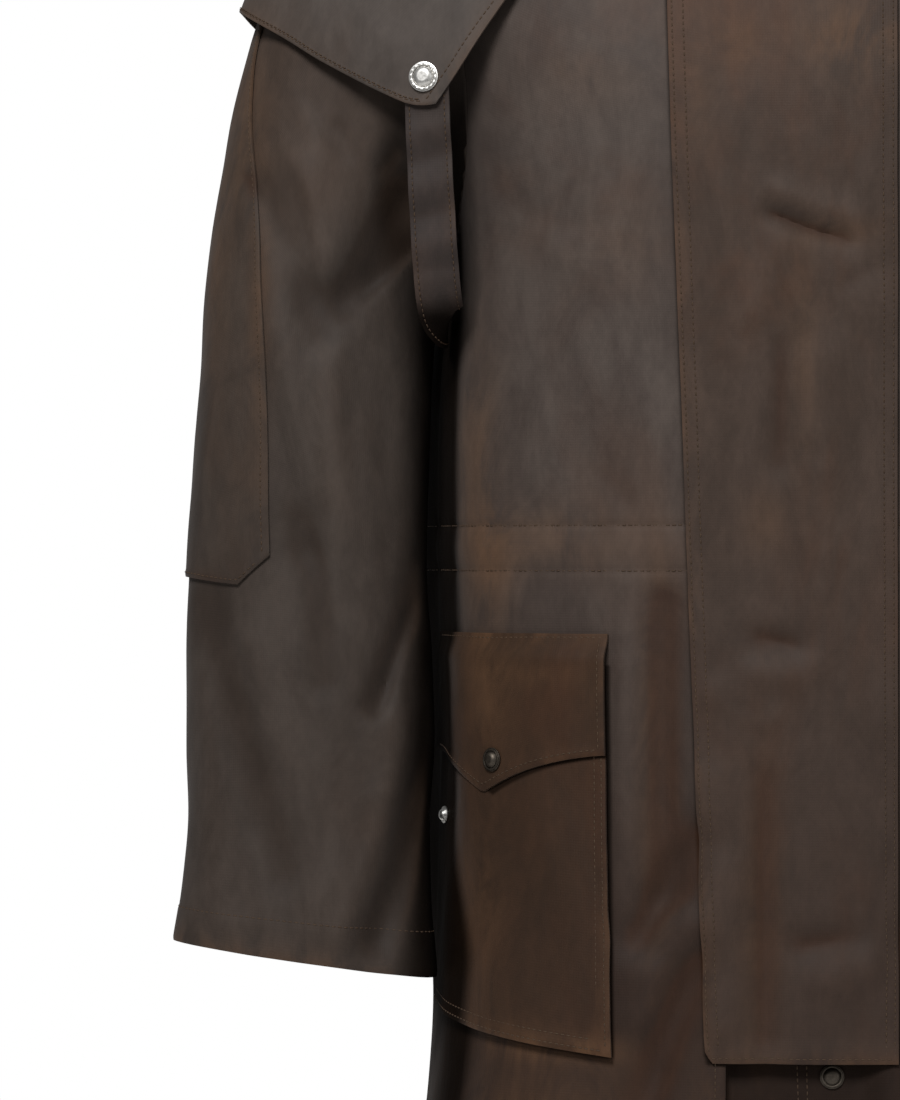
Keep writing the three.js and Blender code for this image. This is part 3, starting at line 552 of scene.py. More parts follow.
class BodySurface(Surface):
    """The body's outer face: u is the angle round it and v its level."""

    def relief(self, u: np.ndarray, v: np.ndarray) -> np.ndarray:
        """Give how far folds and creases move each place outwards."""
        point = ring_point(BODY.at(v), u)
        x, z = point[..., 0], point[..., 2]
        c = np.cos(np.radians(u))
        front = FRONT_FOLDS.height(x, z) + FRONT_CREASES.height(x, z)
        back = BACK_FOLDS.height(x, z) + BACK_CREASES.height(x, z)
        return np.where(c > 0, front, back) * np.abs(c) ** 0.5

    def points(self, u: np.ndarray, v: np.ndarray) -> np.ndarray:
        """Give the point of each place, in millimetres."""
        ring = BODY.at(v)
        point = ring_point(ring, u)
        z = point[..., 2]
        growth = np.clip((FLUTE_TOP - z) / (FLUTE_TOP - HEM_Z), 0, 1) ** 1.4
        out = self.relief(u, v) + 0.5 * unevenness(point, 70, 1.0)
        for angle, spread, height in FLUTES:
            turn = (u - angle + 540) % 360 - 180
            out += height * growth * np.exp(-((turn / spread) ** 2))
        turn = (np.abs((u + 540) % 360 - 180) - FULLNESS_ANGLE) / FULLNESS_SPREAD
        out += ring["fullness"] * np.exp(-(turn**2))
        away = point * np.array([1, 1, 0.0])
        away[..., 0] /= ring["half_width"]
        away[..., 1] /= ring["front_depth"]
        return point + unit(away) * out[..., None]

    def painted_shade(self, point: np.ndarray) -> np.ndarray:
        """Paint shade at the sides, in the gap under the arms, and on the underlap below the storm flap.

        Args:
            point: Points on the body or just off it.

        Returns:
            How much painted shade darkens each point, from 0 to 1.
        """
        # Painted shade in the dark gap between arm and body.
        y, z = point[..., 1], point[..., 2]
        start = -42 - 15 * smooth(-z, 480, 600) - 34 * smooth(-z, 630, 720)
        soft = 22 * smooth(-z, 790, 950)
        side = smooth(y, start - 9 - soft, start + 7 + soft) * (1 - smooth(y, 60, 120))
        side *= smooth(-z, 90, 170)
        before = 1 - smooth(-z, 860, 1000)
        behind = 1 - smooth(-z, 735, 790)
        side *= lerp(before, behind, smooth(y, -75, 10))
        # Painted shade on the recessed underlap below the storm flap's lower edge.
        x = point[..., 0]
        underlap = smooth(x, -EDGE_X - 2, -EDGE_X + 3) * (1 - smooth(x, 50, 90))
        underlap *= smooth(-z, 760, 774) * (1 - smooth(-z, 790, 960)) * smooth(-y, 20, 60)
        return np.maximum(side, 0.5 * underlap)


class CapeSurface(Surface):
    """The cape's outer face: u runs from the left front edge round the back."""

    step_u = 0.002

    def points(self, u: np.ndarray, v: np.ndarray) -> np.ndarray:
        """Give the point of each place, in millimetres."""
        ring = CAPE.at(v)
        start = angle_at_x(ring, ring["edge_x"])
        angle = start + u * (360 - 2 * start)
        point = ring_point(ring, angle)
        x, z = point[..., 0], point[..., 2]
        front = CAPE_FRONT_FOLDS.height(x, z) + CAPE_CREASES.height(x, z)
        back = CAPE_BACK_FOLDS.height(x, z) + CAPE_BACK_CREASES.height(x, z)
        facing = np.cos(np.radians(angle))
        out = np.where(facing > 0, front, back) * np.minimum(np.abs(facing) * 3, 1)
        out = out * smooth(v, 1.5, 4) + 0.5 * unevenness(point, 60, 4.0)
        away = point * np.array([1, 1, 0.0])
        away[..., 0] /= ring["half_width"]
        away[..., 1] /= ring["front_depth"]
        return point + unit(away) * out[..., None]


@dataclass
class SleeveSurface(Surface):
    """A sleeve's outer face: u is the angle round it, 0 outwards and 90 forwards."""

    side: Side
    roundness: float = 2.1

    def relief(self, u: np.ndarray, v: np.ndarray) -> np.ndarray:
        """Give how far folds and creases move each place forwards or backwards."""
        ring = SLEEVE.at(v)
        s, c = np.sin(np.radians(u)), np.cos(np.radians(u))
        share = (1 + power(c, 2 / self.roundness)) / 2
        x = lerp(ring["inner_x"], ring["outer_x"], share)
        z = lerp(ring["inner_z"], ring["outer_z"], share)
        front = SLEEVE_FRONT_FOLDS.height(x, z) + SLEEVE_FRONT_CREASES.height(x, z)
        back = SLEEVE_BACK_FOLDS.height(x, z) + SLEEVE_BACK_CREASES.height(x, z)
        return np.where(s > 0, front, back) * smooth(np.abs(s), 0.1, 0.7)

    def points(self, u: np.ndarray, v: np.ndarray) -> np.ndarray:
        """Give the point of each place, in millimetres."""
        ring = SLEEVE.at(v)
        s, c = np.sin(np.radians(u)), np.cos(np.radians(u))
        across = power(c, 2 / self.roundness)
        forward = power(s, 2 / self.roundness)
        x = ring["inner_x"] + (ring["outer_x"] - ring["inner_x"]) / 2 * (1 + across)
        z = ring["inner_z"] + (ring["outer_z"] - ring["inner_z"]) / 2 * (1 + across)
        out = self.relief(u, v)
        y = -ring["forward"] - forward * ring["depth"] - np.sign(s) * out
        point = np.stack([x, y, z], axis=-1)
        middle = np.stack([(ring["inner_x"] + ring["outer_x"]) / 2, -ring["forward"], z], -1)
        ripple = 0.6 * unevenness(point, 46, 7.0) * smooth(v, 2, 4)
        point += unit((point - middle) * np.array([1, 1, 0.0])) * ripple[..., None]
        return point * np.array([-self.side.value, 1, 1])

    def facing(self, u: np.ndarray, v: np.ndarray) -> np.ndarray:
        """Give the outward direction at each place."""
        return super().facing(u, v) * self.side.value

    def painted_shade(self, point: np.ndarray) -> np.ndarray:
        """Paint shade along the side that lies against the body and in the hollow beside the strap."""
        across = np.abs(point[..., 0])
        inner = 1 - smooth(across, 234, 258)
        hollow = 1 - smooth(np.hypot((across - 248) / 19, (point[..., 2] + 232) / 62), 0.5, 1.35)
        return np.maximum(inner, 0.85 * hollow) * smooth(-point[..., 2], 120, 200)


class FlapSurface(Surface):
    """The storm flap's base: u runs from its free edge to its seam."""

    step_u = 0.01
    edge_top_x = -79.0
    edge_run = 25.0
    edge_top_z = -116.0

    @classmethod
    def edge_at(cls, z: np.ndarray) -> np.ndarray:
        """Give the free edge's distance from the middle at a height."""
        share = (cls.edge_top_z - z) / (cls.edge_top_z - FLAP_BOTTOM_Z)
        return cls.edge_top_x + cls.edge_run * np.clip(share, -0.2, 1)

    def points(self, u: np.ndarray, v: np.ndarray) -> np.ndarray:
        """Give the point of each place, in millimetres."""
        ring = BODY.at(v)
        edge = self.edge_at(ring["front_z"])
        x = lerp(scaled_x(ring, edge), scaled_x(ring, FLAP_SEAM_X), u)
        point = BODY_FACE.points(angle_at_x(ring, x), v)
        point[..., 1] -= self._folded(point, u)
        return point

    @staticmethod
    def _folded(point: np.ndarray, u: np.ndarray) -> np.ndarray:
        """Give how far the flap's own folds and creases move points forwards."""
        x, z = point[..., 0], point[..., 2]
        fold = FLAP_FOLDS.height(x, z) + FLAP_CREASES.height(x, z)
        room = smooth(x, -38, -16) * (1 - smooth(x, 44, FLAP_SEAM_X))
        return np.where(fold < 0, fold * room, fold * smooth(1 - u, 0, 0.15))

    def relief(self, u: np.ndarray, v: np.ndarray) -> np.ndarray:
        """Give how far the flap's folds and creases move each place forwards."""
        return self._folded(self.points(u, v), u)


@dataclass
class StrapSurface(Surface):
    """A cape strap's outer face: u is -1 to 1 across it."""

    side: Side
    width: float = 29.0
    step_u = 0.05
    ripples = (  # level, spread, height: the soft ridges that cross the strap
        (1.15, 0.16, 2.1), (1.45, 0.12, -1.5), (1.78, 0.16, 2.3), (2.1, 0.13, -1.5),
        (2.5, 0.16, 1.8), (2.85, 0.12, -1.2), (0.55, 0.2, 1.4),
    )

    def points(self, u: np.ndarray, v: np.ndarray) -> np.ndarray:
        """Give the point of each place, in millimetres."""
        row = STRAP.at(v)
        wide = unit(np.stack([row["wide_x"], row["wide_y"], row["wide_z"]], axis=-1))
        middle = np.stack([-row["x"], row["y"], row["z"]], axis=-1)
        point = middle + wide * (u * self.width / 2)[..., None]
        point[..., 1] -= self.relief(u, v)
        return point * np.array([self.side.value, 1, 1])

    def relief(self, u: np.ndarray, v: np.ndarray) -> np.ndarray:
        """Give how far the ripples move each place forwards."""
        out = np.zeros_like(u)
        for level, spread, height in self.ripples:
            out += height * np.exp(-(((v + 0.06 * u - level) / spread) ** 2))
        return out

    def painted_shade(self, point: np.ndarray) -> np.ndarray:
        """Paint shade where the strap turns back between arm and body."""
        return smooth(-point[..., 2], 294, 312)

    def facing(self, u: np.ndarray, v: np.ndarray) -> np.ndarray:
        """Give the outward direction at each place."""
        return super().facing(u, v) * self.side.value


class CollarSurface(Surface):
    """The collar's outer face: u is the angle round the neck, v the row of its section."""

    front_drop = 26.0
    back_drop = 12.0

    def points(self, u: np.ndarray, v: np.ndarray) -> np.ndarray:
        """Give the point of each place, in millimetres."""
        row = COLLAR.at(v)
        seam = ring_point(BODY.at(np.zeros_like(v)), u)
        c = np.cos(np.radians(u))
        drop = np.where(c > 0, self.front_drop, self.back_drop) * c * c * row["drop"]
        away = unit(seam * np.array([1, 1, 0.0]))
        wave = 0.9 * unevenness(seam, 50, 9.0) * smooth(v, 3, 7)
        point = seam + away * (row["out"] + wave)[..., None]
        point[..., 2] += row["up"] - drop
        return point


BODY_FACE = BodySurface()
FLAP_FACE = FlapSurface()


def underlap_inset(u: np.ndarray, v: np.ndarray) -> np.ndarray:
    """Step the left front back behind the right front and the storm flap."""
    point = BODY_FACE.points(u, v)
    deep = lerp(4.0, 10.0, smooth(-point[..., 2], 500, 820))
    return -deep * (1 - smooth(point[..., 0], 38, 62))


def beyond(*distances: np.ndarray) -> np.ndarray:
    """Give how far points are outside a patch, from how far they are past its edges.

    Args:
        *distances: Distances past each edge, negative on the patch's side of it.

    Returns:
        The distance, negative inside.
    """
    outside = np.sqrt(sum(np.maximum(d, 0) ** 2 for d in distances))
    return np.where(outside > 0, outside, np.maximum.reduce(list(distances)))


def beside_on_front(point: np.ndarray) -> np.ndarray:
    """Give how far points of a front are from the storm flap and the pockets on it."""
    x, z = point[..., 0], point[..., 2]
    ring = BODY.at(level_at_z(z))
    edge = scaled_x(ring, FlapSurface.edge_at(z))
    flap = beyond(edge - x, FLAP_BOTTOM_Z - z, x - scaled_x(ring, FLAP_SEAM_X))
    across = np.abs(x)
    pocket = beyond(
        -Pocket.edge_x(z) - across, Pocket.bottom_z(-across) - z, z - POCKET_TOP_Z,
    )
    return np.where(point[..., 1] < 0, np.minimum(flap, pocket), FAR)


def pocket_out(angle: np.ndarray) -> np.ndarray:
    """Give how far the pocket's panel stands off the front at an angle round the body."""
    return FOOT + 3.4 * (1 - smooth(np.abs(angle), 64, -POCKET_FAR))


@dataclass(frozen=True)
class Edges:
    """How wide the turned hem is along each edge of a piece, in millimetres, or 0."""

    first: float = 0.0
    last: float = 0.0
    top: float = 0.0
    bottom: float = 0.0


@dataclass
class Panel:
    """A piece of cloth cut from a surface, between two side edges and two ends.

    Places on it are shares across and down its own length, so that a distance in
    millimetres divided by its width or length is a share.
    """

    surface: Surface
    first: Callable[[np.ndarray], Numbers]
    last: Callable[[np.ndarray], Numbers]
    top: Callable[[np.ndarray], Numbers]
    bottom: Callable[[np.ndarray], Numbers]
    out: Field = lambda u, v: 0.0
    shares: np.ndarray = field(init=False)
    across: np.ndarray = field(init=False)
    down: np.ndarray = field(init=False)
    width: float = field(init=False, default=0.0)
    length: float = field(init=False, default=0.0)

    def __post_init__(self) -> None:
        """Measure the panel across its middle and down its middle."""
        self.shares = np.linspace(0, 1, 240)
        self.across = self.down = self.shares
        half = np.full_like(self.shares, 0.5)
        across = self._lengths(self.surface.points(*self.place(self.shares, half)))
        down = self._lengths(self.surface.points(*self.place(half, self.shares)))
        self.width, self.length = float(across[-1]), float(down[-1])
        self.across, self.down = across / self.width, down / self.length

    @staticmethod
    def _lengths(points: np.ndarray) -> np.ndarray:
        """Add up the distances along a line of points."""
        steps = np.linalg.norm(np.diff(points, axis=0), axis=-1)
        return np.concatenate([[0], np.cumsum(steps)])

    def place(self, across: Numbers, down: Numbers) -> tuple[np.ndarray, np.ndarray]:
        """Turn shares across and down into a place on the surface.

        Args:
            across: Shares of the width.
            down: Shares of the length.

        Returns:
            The surface's u and v.
        """
        a = np.interp(across, self.across, self.shares)
        d = np.interp(down, self.down, self.shares)
        level = lerp(self.top(a), self.bottom(a), d)
        return lerp(self.first(level), self.last(level), a), level


def spaced(length: float, pitch: float, near: bool = True) -> np.ndarray:
    """Share out a length, with closer steps at its two ends.

    Args:
        length: The length in millimetres.
        pitch: The usual step.
        near: Whether the ends are edges that need close steps.

    Returns:
        Shares from 0 to 1.
    """
    if not near:
        return np.linspace(0, 1, round(length / pitch) + 1)
    close = np.array([0, 0.9, 2.6, 5.5])
    middle = np.linspace(10, length - 10, max(2, round((length - 20) / pitch) + 1))
    return np.concatenate([close, middle, length - close[::-1]]) / length


def join_steps(shares: np.ndarray, extra: Iterable[float]) -> np.ndarray:
    """Add extra shares to a run of them, and drop those that nearly coincide."""
    merged = np.sort(np.concatenate([shares, np.array(list(extra), dtype=float)]))
    keep = np.concatenate([[True], np.diff(merged) > 0.0006])
    return merged[keep]


def new_object(name: str, points: np.ndarray, faces: np.ndarray) -> bpy.types.Object:
    """Make an object from points in millimetres and faces.

    Args:
        name: The piece's name.
        points: Its points, one a row.
        faces: Corner numbers, one face a row.

    Returns:
        The new object, linked to the scene.
    """
    mesh = bpy.data.meshes.new(name)
    mesh.from_pydata((points * MM).tolist(), [], faces.tolist())
    piece = bpy.data.objects.new(name, mesh)
    bpy.context.scene.collection.objects.link(piece)
    return piece


def make_active(piece: bpy.types.Object) -> None:
    """Select one object alone and make it the active one."""
    bpy.ops.object.select_all(action="DESELECT")
    piece.select_set(True)
    bpy.context.view_layer.objects.active = piece


def signed_volume(points: np.ndarray, faces: np.ndarray) -> float:
    """Give a closed mesh's volume, which is negative where it is inside out."""
    total = 0.0
    for k in range(1, faces.shape[1] - 1):
        a, b, c = (points[faces[:, i]] for i in (0, k, k + 1))
        total += float(np.einsum("ij,ij->i", a, np.cross(b, c)).sum())
    return total


@dataclass
class Shell:
    """A closed cloth wall on a panel, with turned hems and a worn edge.

    Attributes:
        name: The piece's name.
        panel: The panel that it is cut from.
        edges: Its turned hems.
        pitch: The usual step between its points.
        cloth: Its thickness.
        tube: Whether its last column meets its first.
        lift: Extra height off the surface, by shares across and down.
        beside: How far points are from an edge of another piece that lies on this one, where the finish
            paints a shadow.
        extra_down: Shares down at which it needs points.
    """

    name: str
    panel: Panel
    edges: Edges = Edges()
    pitch: float = 5.0
    cloth: float = CLOTH
    tube: bool = False
    lift: Field = lambda across, down: 0.0
    beside: Callable[[np.ndarray], np.ndarray] | None = None
    extra_down: Iterable[float] = ()
    area: float = 0.0

    def _hems(self, across: np.ndarray, down: np.ndarray) -> tuple[np.ndarray, np.ndarray]:
        """Shape the turned edges.

        Args:
            across: Shares across of each point.
            down: Shares down of each point.

        Returns:
            How far each point stands out, and how near it is to an edge, from 0 to 1.
        """
        width, length = self.panel.width, self.panel.length
        sides = (
            (across * width, self.edges.first), ((1 - across) * width, self.edges.last),
            (down * length, self.edges.top), ((1 - down) * length, self.edges.bottom),
        )
        raised = np.zeros_like(across)
        near = np.zeros_like(across)
        for distance, hem in sides:
            if hem:
                raised = np.maximum(raised, 0.45 * (1 - smooth(distance, hem - 2, hem + 2)))
                raised -= 0.55 * np.exp(-((distance / 1.1) ** 2))
                near = np.maximum(near, np.exp(-distance / 6))
        return raised, near

    def build(self) -> bpy.types.Object:
        """Make the wall's mesh.

        Returns:
            The piece, with its UV map in metres and the attributes that its finish reads.
        """
        panel = self.panel
        columns = spaced(panel.width, self.pitch, not self.tube)
        rows = join_steps(spaced(panel.length, self.pitch), self.extra_down)
        if self.tube:
            columns = columns[:-1]
        across, down = np.meshgrid(columns, rows)
        u, v = panel.place(across, down)
        raised, near = self._hems(across, down)
        base = panel.surface.points(u, v)
        facing = panel.surface.facing(u, v)
        out = np.broadcast_to(panel.out(u, v) + self.lift(across, down), u.shape)
        outer = base + facing * (out + raised)[..., None]
        inner = base + facing * (out - self.cloth)[..., None]
        piece = self._mesh(outer, inner)
        self._attributes(piece, outer, near, panel.surface.relief(u, v))
        self._map(piece, columns, rows)
        self.area = self._measure(outer)
        return piece

    def _mesh(self, outer: np.ndarray, inner: np.ndarray) -> bpy.types.Object:
        """Join the outer and inner points into a closed wall, facing outwards."""
        rows, columns = outer.shape[:2]
        count = rows * columns
        spans = columns if self.tube else columns - 1
        r, c = np.meshgrid(np.arange(rows - 1), np.arange(spans), indexing="ij")
        here, there = r * columns + c, r * columns + (c + 1) % columns
        skin = np.stack([here, here + columns, there + columns, there], -1).reshape(-1, 4)
        faces = [skin, skin[:, ::-1] + count]
        c = np.arange(spans)
        d = (c + 1) % columns
        faces.append(np.stack([c, d, d + count, c + count], -1))
        last = (rows - 1) * columns
        faces.append(np.stack([c, c + count, d + count, d], -1) + last)
        if not self.tube:
            r = np.arange(rows - 1) * columns
            faces.append(np.stack([r, r + count, r + columns + count, r + columns], -1))
            e = r + columns - 1
            faces.append(np.stack([e, e + columns, e + columns + count, e + count], -1))
        points = np.concatenate([outer.reshape(-1, 3), inner.reshape(-1, 3)])
        joined = np.concatenate(faces)
        if signed_volume(points, joined) < 0:
            joined = joined[:, ::-1]
        return new_object(self.name, points, joined)

    def _attributes(
        self, piece: bpy.types.Object, outer: np.ndarray, near: np.ndarray, relief: np.ndarray,
    ) -> None:
        """Store how worn and creased the cloth is at each point, with its painted shade.

        Args:
            piece: The piece.
            outer: Its outer points.
            near: How near each one is to an edge.
            relief: How far folds and creases move each one outwards, in millimetres.
        """
        flat = outer.reshape(-1, 3)
        beside = self.beside(flat) if self.beside else np.full(len(flat), FAR)
        # painted_shade and beside carry painted shade and a painted contact shadow; relief also paints
        # shade in creases and light on ridges.
        values = {
            "edge": near.reshape(-1),
            "stain": stain_at(flat[:, 0], flat[:, 1], flat[:, 2]),
            "painted_shade": self.panel.surface.painted_shade(flat),
            "relief": relief.reshape(-1),
            "beside": np.minimum(beside, FAR),
        }
        for name, value in values.items():
            layer = piece.data.attributes.new(name, "FLOAT", "POINT")
            layer.data.foreach_set("value", np.concatenate([value, value]).astype(np.float32))

    def _map(self, piece: bpy.types.Object, columns: np.ndarray, rows: np.ndarray) -> None:
        """Lay the cloth's own lengths out as its UV map, in metres."""
        wide = columns * self.panel.width * MM
        long = rows * self.panel.length * MM
        grid = np.stack(np.meshgrid(wide, long), axis=-1).reshape(-1, 2)
        corners = np.empty(len(piece.data.loops), dtype=np.int32)
        piece.data.loops.foreach_get("vertex_index", corners)
        uv = grid[corners % len(grid)]
        if self.tube:
            ends = uv.reshape(-1, 4, 2)
            jump = ends[..., 0].max(axis=1, keepdims=True) - ends[..., 0] > self.panel.width * MM / 2
            ends[..., 0] += jump * self.panel.width * MM
            uv = ends.reshape(-1, 2)
        layer = piece.data.uv_layers.new(name="cloth")
        layer.data.foreach_set("uv", uv.astype(np.float32).reshape(-1))

    def _measure(self, outer: np.ndarray) -> float:
        """Give the outer face's area in square metres."""
        ring = np.concatenate([outer, outer[:, :1]], axis=1) if self.tube else outer
        a = ring[1:, :-1] - ring[:-1, 1:]
        b = ring[1:, 1:] - ring[:-1, :-1]
        return float(np.linalg.norm(np.cross(a, b), axis=-1).sum() / 2) * MM * MM

    def flat(self) -> tuple[float, float]:
        """Give the size that the piece is cut to, in metres."""
        return self.panel.width * MM, self.panel.length * MM


# Worn and rubbed places seen from the front: x, z, half width, half height, strength
STAINS = [
    (40, -138, 34, 24, 0.8), (-34, -142, 14, 16, 0.5), (-60, -160, 10, 60, 0.25),
    (-18, -440, 14, 20, 0.35), (-19, -690, 12, 90, 0.45), (6, -330, 9, 60, 0.4),
    (-84, -590, 12, 110, 0.5), (-150, -450, 60, 22, 0.45), (-190, -470, 16, 30, 0.6),
    (-192, -550, 14, 40, 0.55), (-170, -535, 40, 8, 0.35), (-150, -768, 44, 9, 0.8),
    (-200, -690, 16, 60, 0.45), (-186, -845, 40, 60, 0.45), (-130, -800, 60, 26, 0.3),
    (-352, -170, 18, 60, 0.6), (-372, -260, 12, 80, 0.4), (-338, -300, 7, 70, 0.5),
    (-100, -270, 40, 30, 0.18), (-130, -160, 40, 20, 0.2), (30, -260, 26, 9, 0.4),
    (-202, -400, 16, 80, 0.65), (-84, -520, 8, 60, 0.4), (202, -400, 16, 80, 0.5),
    (352, -170, 18, 60, 0.6), (372, -260, 12, 80, 0.4), (150, -450, 60, 22, 0.4),
    (192, -550, 14, 40, 0.6), (150, -768, 44, 9, 0.7), (186, -845, 40, 60, 0.45),
    (84, -600, 12, 110, 0.4), (110, -860, 30, 90, 0.3), (-60, -900, 30, 90, 0.3),
]


def stain_at(x: np.ndarray, y: np.ndarray, z: np.ndarray) -> np.ndarray:
    """Add up the worn places of the front at points in space.

    Args:
        x: Distances from the middle.
        y: Depths, negative to the front.
        z: Heights.

    Returns:
        How worn each point is, from 0 to 1.
    """
    worn = np.zeros_like(x)
    for middle_x, middle_z, wide, high, strength in STAINS:
        away = ((x - middle_x) / wide) ** 2 + ((z - middle_z) / high) ** 2
        worn += strength * np.exp(-away)
    return np.clip(worn, 0, 1) * smooth(-y, -20, 40)


def linear(colour: str) -> tuple[float, float, float, float]:
    """Turn an sRGB hex colour into linear values.

    Args:
        colour: Six hex digits after a hash.

    Returns:
        Linear red, green, blue and an alpha of 1.
    """
    parts = [int(colour[i:i + 2], 16) / 255 for i in (1, 3, 5)]
    bent = [p / 12.92 if p <= 0.04045 else ((p + 0.055) / 1.055) ** 2.4 for p in parts]
    return bent[0], bent[1], bent[2], 1.0


def add_node(
    tree: bpy.types.NodeTree, kind: str, settings: dict | None = None, **links: object,
) -> bpy.types.Node:
    """Add a node with its settings and inputs.

    Args:
        tree: The node tree.
        kind: The node's type, without the words ShaderNode.
        settings: Properties of the node by name.
        **links: Inputs by name, with _ for a space, or i and a number for a place. Each is
            a socket to link or a plain value.

    Returns:
        The new node.
    """
    node = tree.nodes.new("ShaderNode" + kind)
    for name, value in (settings or {}).items():
        setattr(node, name, value)
    for name, value in links.items():
        is_place = name[0] == "i" and name[1:].isdigit()
        socket = node.inputs[int(name[1:]) if is_place else name.replace("_", " ")]
        if isinstance(value, bpy.types.NodeSocket):
            tree.links.new(value, socket)
        else:
            socket.default_value = value
    return node


class Finish:
    """A finish that makes its material once and hands it out."""

    name: str

    def material(self) -> bpy.types.Material:
        """Give the finish's material, made on the first call."""
        known = bpy.data.materials.get("look_" + self.name)
        if known:
            return known
        material = bpy.data.materials.new("look_" + self.name)
        material.use_nodes = True
        material.node_tree.nodes.clear()
        shader = self.shade(material.node_tree)
        end = material.node_tree.nodes.new("ShaderNodeOutputMaterial")
        material.node_tree.links.new(shader.outputs[0], end.inputs["Surface"])
        return material

    def shade(self, tree: bpy.types.NodeTree) -> bpy.types.Node:
        """Build the nodes and give the shader."""
        raise NotImplementedError

    def put_on(self, piece: bpy.types.Object) -> None:
        """Make this finish the piece's only material."""
        piece.data.materials.clear()
        piece.data.materials.append(self.material())


@dataclass(frozen=True)
class WaxedCotton(Finish):
    """Waxed cotton canvas: plain weave, dyed, with wax rubbed into it.

    The wax fills the weave, so the face is nearly smooth with a low soft shine. It is
    rusty or tan where wear has taken the wax off. Shade is painted into its colour under
    the arms, beside pieces lying on it and in creases, with painted highlight on ridges.
    """

    name: str
    base: str
    deep: str
    rust: str
    worn: str = "#6b4c33"
    low: str = "#2a1a11"
    # Painted shade in creases: a dark reddish brown.
    crease_shade: str = "#40281a"
    # Painted shade: the near-black that painted shade and painted shadow mix towards.
    wax: str = "#0d0a08"
    low_share: float = 0.92
    rust_share: float = 0.4
    edge_wear: float = 0.3
    contact_shadow_reach: float = 2.6  # millimetres that the painted shadow reaches beside a piece lying on it
    roughness: float = 0.64
    shine: float = 0.26
    seed: float = 0.0

    def shade(self, tree: bpy.types.NodeTree) -> bpy.types.Node:
        """Build the nodes and give the shader."""
        place = add_node(tree, "TexCoord")
        moved = add_node(
            tree, "Mapping", None, Vector=place.outputs["Object"],
            Location=(self.seed, self.seed * 0.7, 0), Scale=(1, 1, 0.5),
        ).outputs[0]
        cloudy = add_node(
            tree, "TexNoise", None, Vector=moved,
            Scale=6.5, Detail=5.0, Roughness=0.6, Distortion=0.5,
        ).outputs["Fac"]
        patchy = add_node(
            tree, "TexNoise", None, Vector=moved,
            Scale=21.0, Detail=6.0, Roughness=0.66, Distortion=0.9,
        ).outputs["Fac"]
        rubbed = add_node(
            tree, "TexNoise", None, Vector=moved,
            Scale=120.0, Detail=4.0, Roughness=0.7,
        ).outputs["Fac"]
        base = self._blend(tree, self._ramp(tree, patchy, 0.3, 0.7), self.deep, self.base)
        rusty = self._product(tree, self._ramp(tree, cloudy, 0.47, 0.68), self.rust_share)
        colour = self._blend(tree, rusty, base, self.rust)
        height = add_node(tree, "SeparateXYZ", None, i0=place.outputs["Object"]).outputs["Z"]
        low = self._ramp(tree, height, -0.33, -0.78)
        colour = self._blend(tree, self._product(tree, low, self.low_share), colour, self.low)
        stain = add_node(tree, "Attribute", {"attribute_name": "stain"}).outputs["Fac"]
        broken = self._product(tree, stain, self._ramp(tree, patchy, 0.3, 0.6))
        colour = self._blend(tree, self._product(tree, broken, 0.62), colour, self.worn)
        edge = add_node(tree, "Attribute", {"attribute_name": "edge"}).outputs["Fac"]
        frayed = self._product(tree, edge, self._ramp(tree, patchy, 0.42, 0.62))
        colour = self._blend(tree, self._product(tree, frayed, self.edge_wear), colour, self.worn)
        # Painted shade at the sides under the arms, on the underlap and along the sleeve and strap, with
        # a painted contact shadow beside the edges of pieces lying on this one.
        dark = add_node(tree, "Attribute", {"attribute_name": "painted_shade"}).outputs["Fac"]
        beside = add_node(tree, "Attribute", {"attribute_name": "beside"}).outputs["Fac"]
        under = add_node(
            tree, "MapRange", {"interpolation_type": "SMOOTHSTEP"},
            Value=beside, i1=-0.4, i2=self.contact_shadow_reach, i3=0.85, i4=0.0,
        ).outputs[0]
        dark = add_node(tree, "Math", {"operation": "MAXIMUM"}, i0=dark, i1=under).outputs[0]
        colour = self._blend(tree, self._product(tree, dark, 0.9), colour, self.wax)
        # Painted shade in creases and painted highlight on ridges, both from the fold relief.
        relief = add_node(tree, "Attribute", {"attribute_name": "relief"}).outputs["Fac"]
        crease_shade = self._product(tree, self._ramp(tree, relief, -0.6, -4.6), 0.7)
        colour = self._blend(tree, crease_shade, colour, self.crease_shade)
        fold = add_node(
            tree, "MapRange", None, Value=relief, i1=-9.0, i2=7.0, i3=0.62, i4=1.24,
        ).outputs[0]
        colour = add_node(
            tree, "VectorMath", {"operation": "SCALE"}, i0=colour, Scale=fold,
        ).outputs[0]
        lit = self._ramp(tree, rubbed, 0.3, 0.72)
        shade = add_node(tree, "MapRange", None, Value=lit, i3=0.9, i4=1.08).outputs[0]
        colour = add_node(
            tree, "VectorMath", {"operation": "SCALE"}, i0=colour, Scale=shade,
        ).outputs[0]
        rough = add_node(
            tree, "MapRange", None, Value=patchy,
            i3=self.roughness - 0.1, i4=self.roughness + 0.14,
        ).outputs[0]
        # Less shine and sheen where shade is painted.
        shine = add_node(tree, "MapRange", None, Value=dark, i3=self.shine, i4=0.02)
        sheen = add_node(tree, "MapRange", None, Value=dark, i3=0.06, i4=0.0)
        return add_node(
            tree, "BsdfPrincipled", None, Base_Color=colour, Roughness=rough,
            IOR=1.45, Specular_IOR_Level=shine.outputs[0], Sheen_Weight=sheen.outputs[0],
            Sheen_Roughness=0.5, Normal=self._bump(tree, place.outputs["UV"], moved),
        )

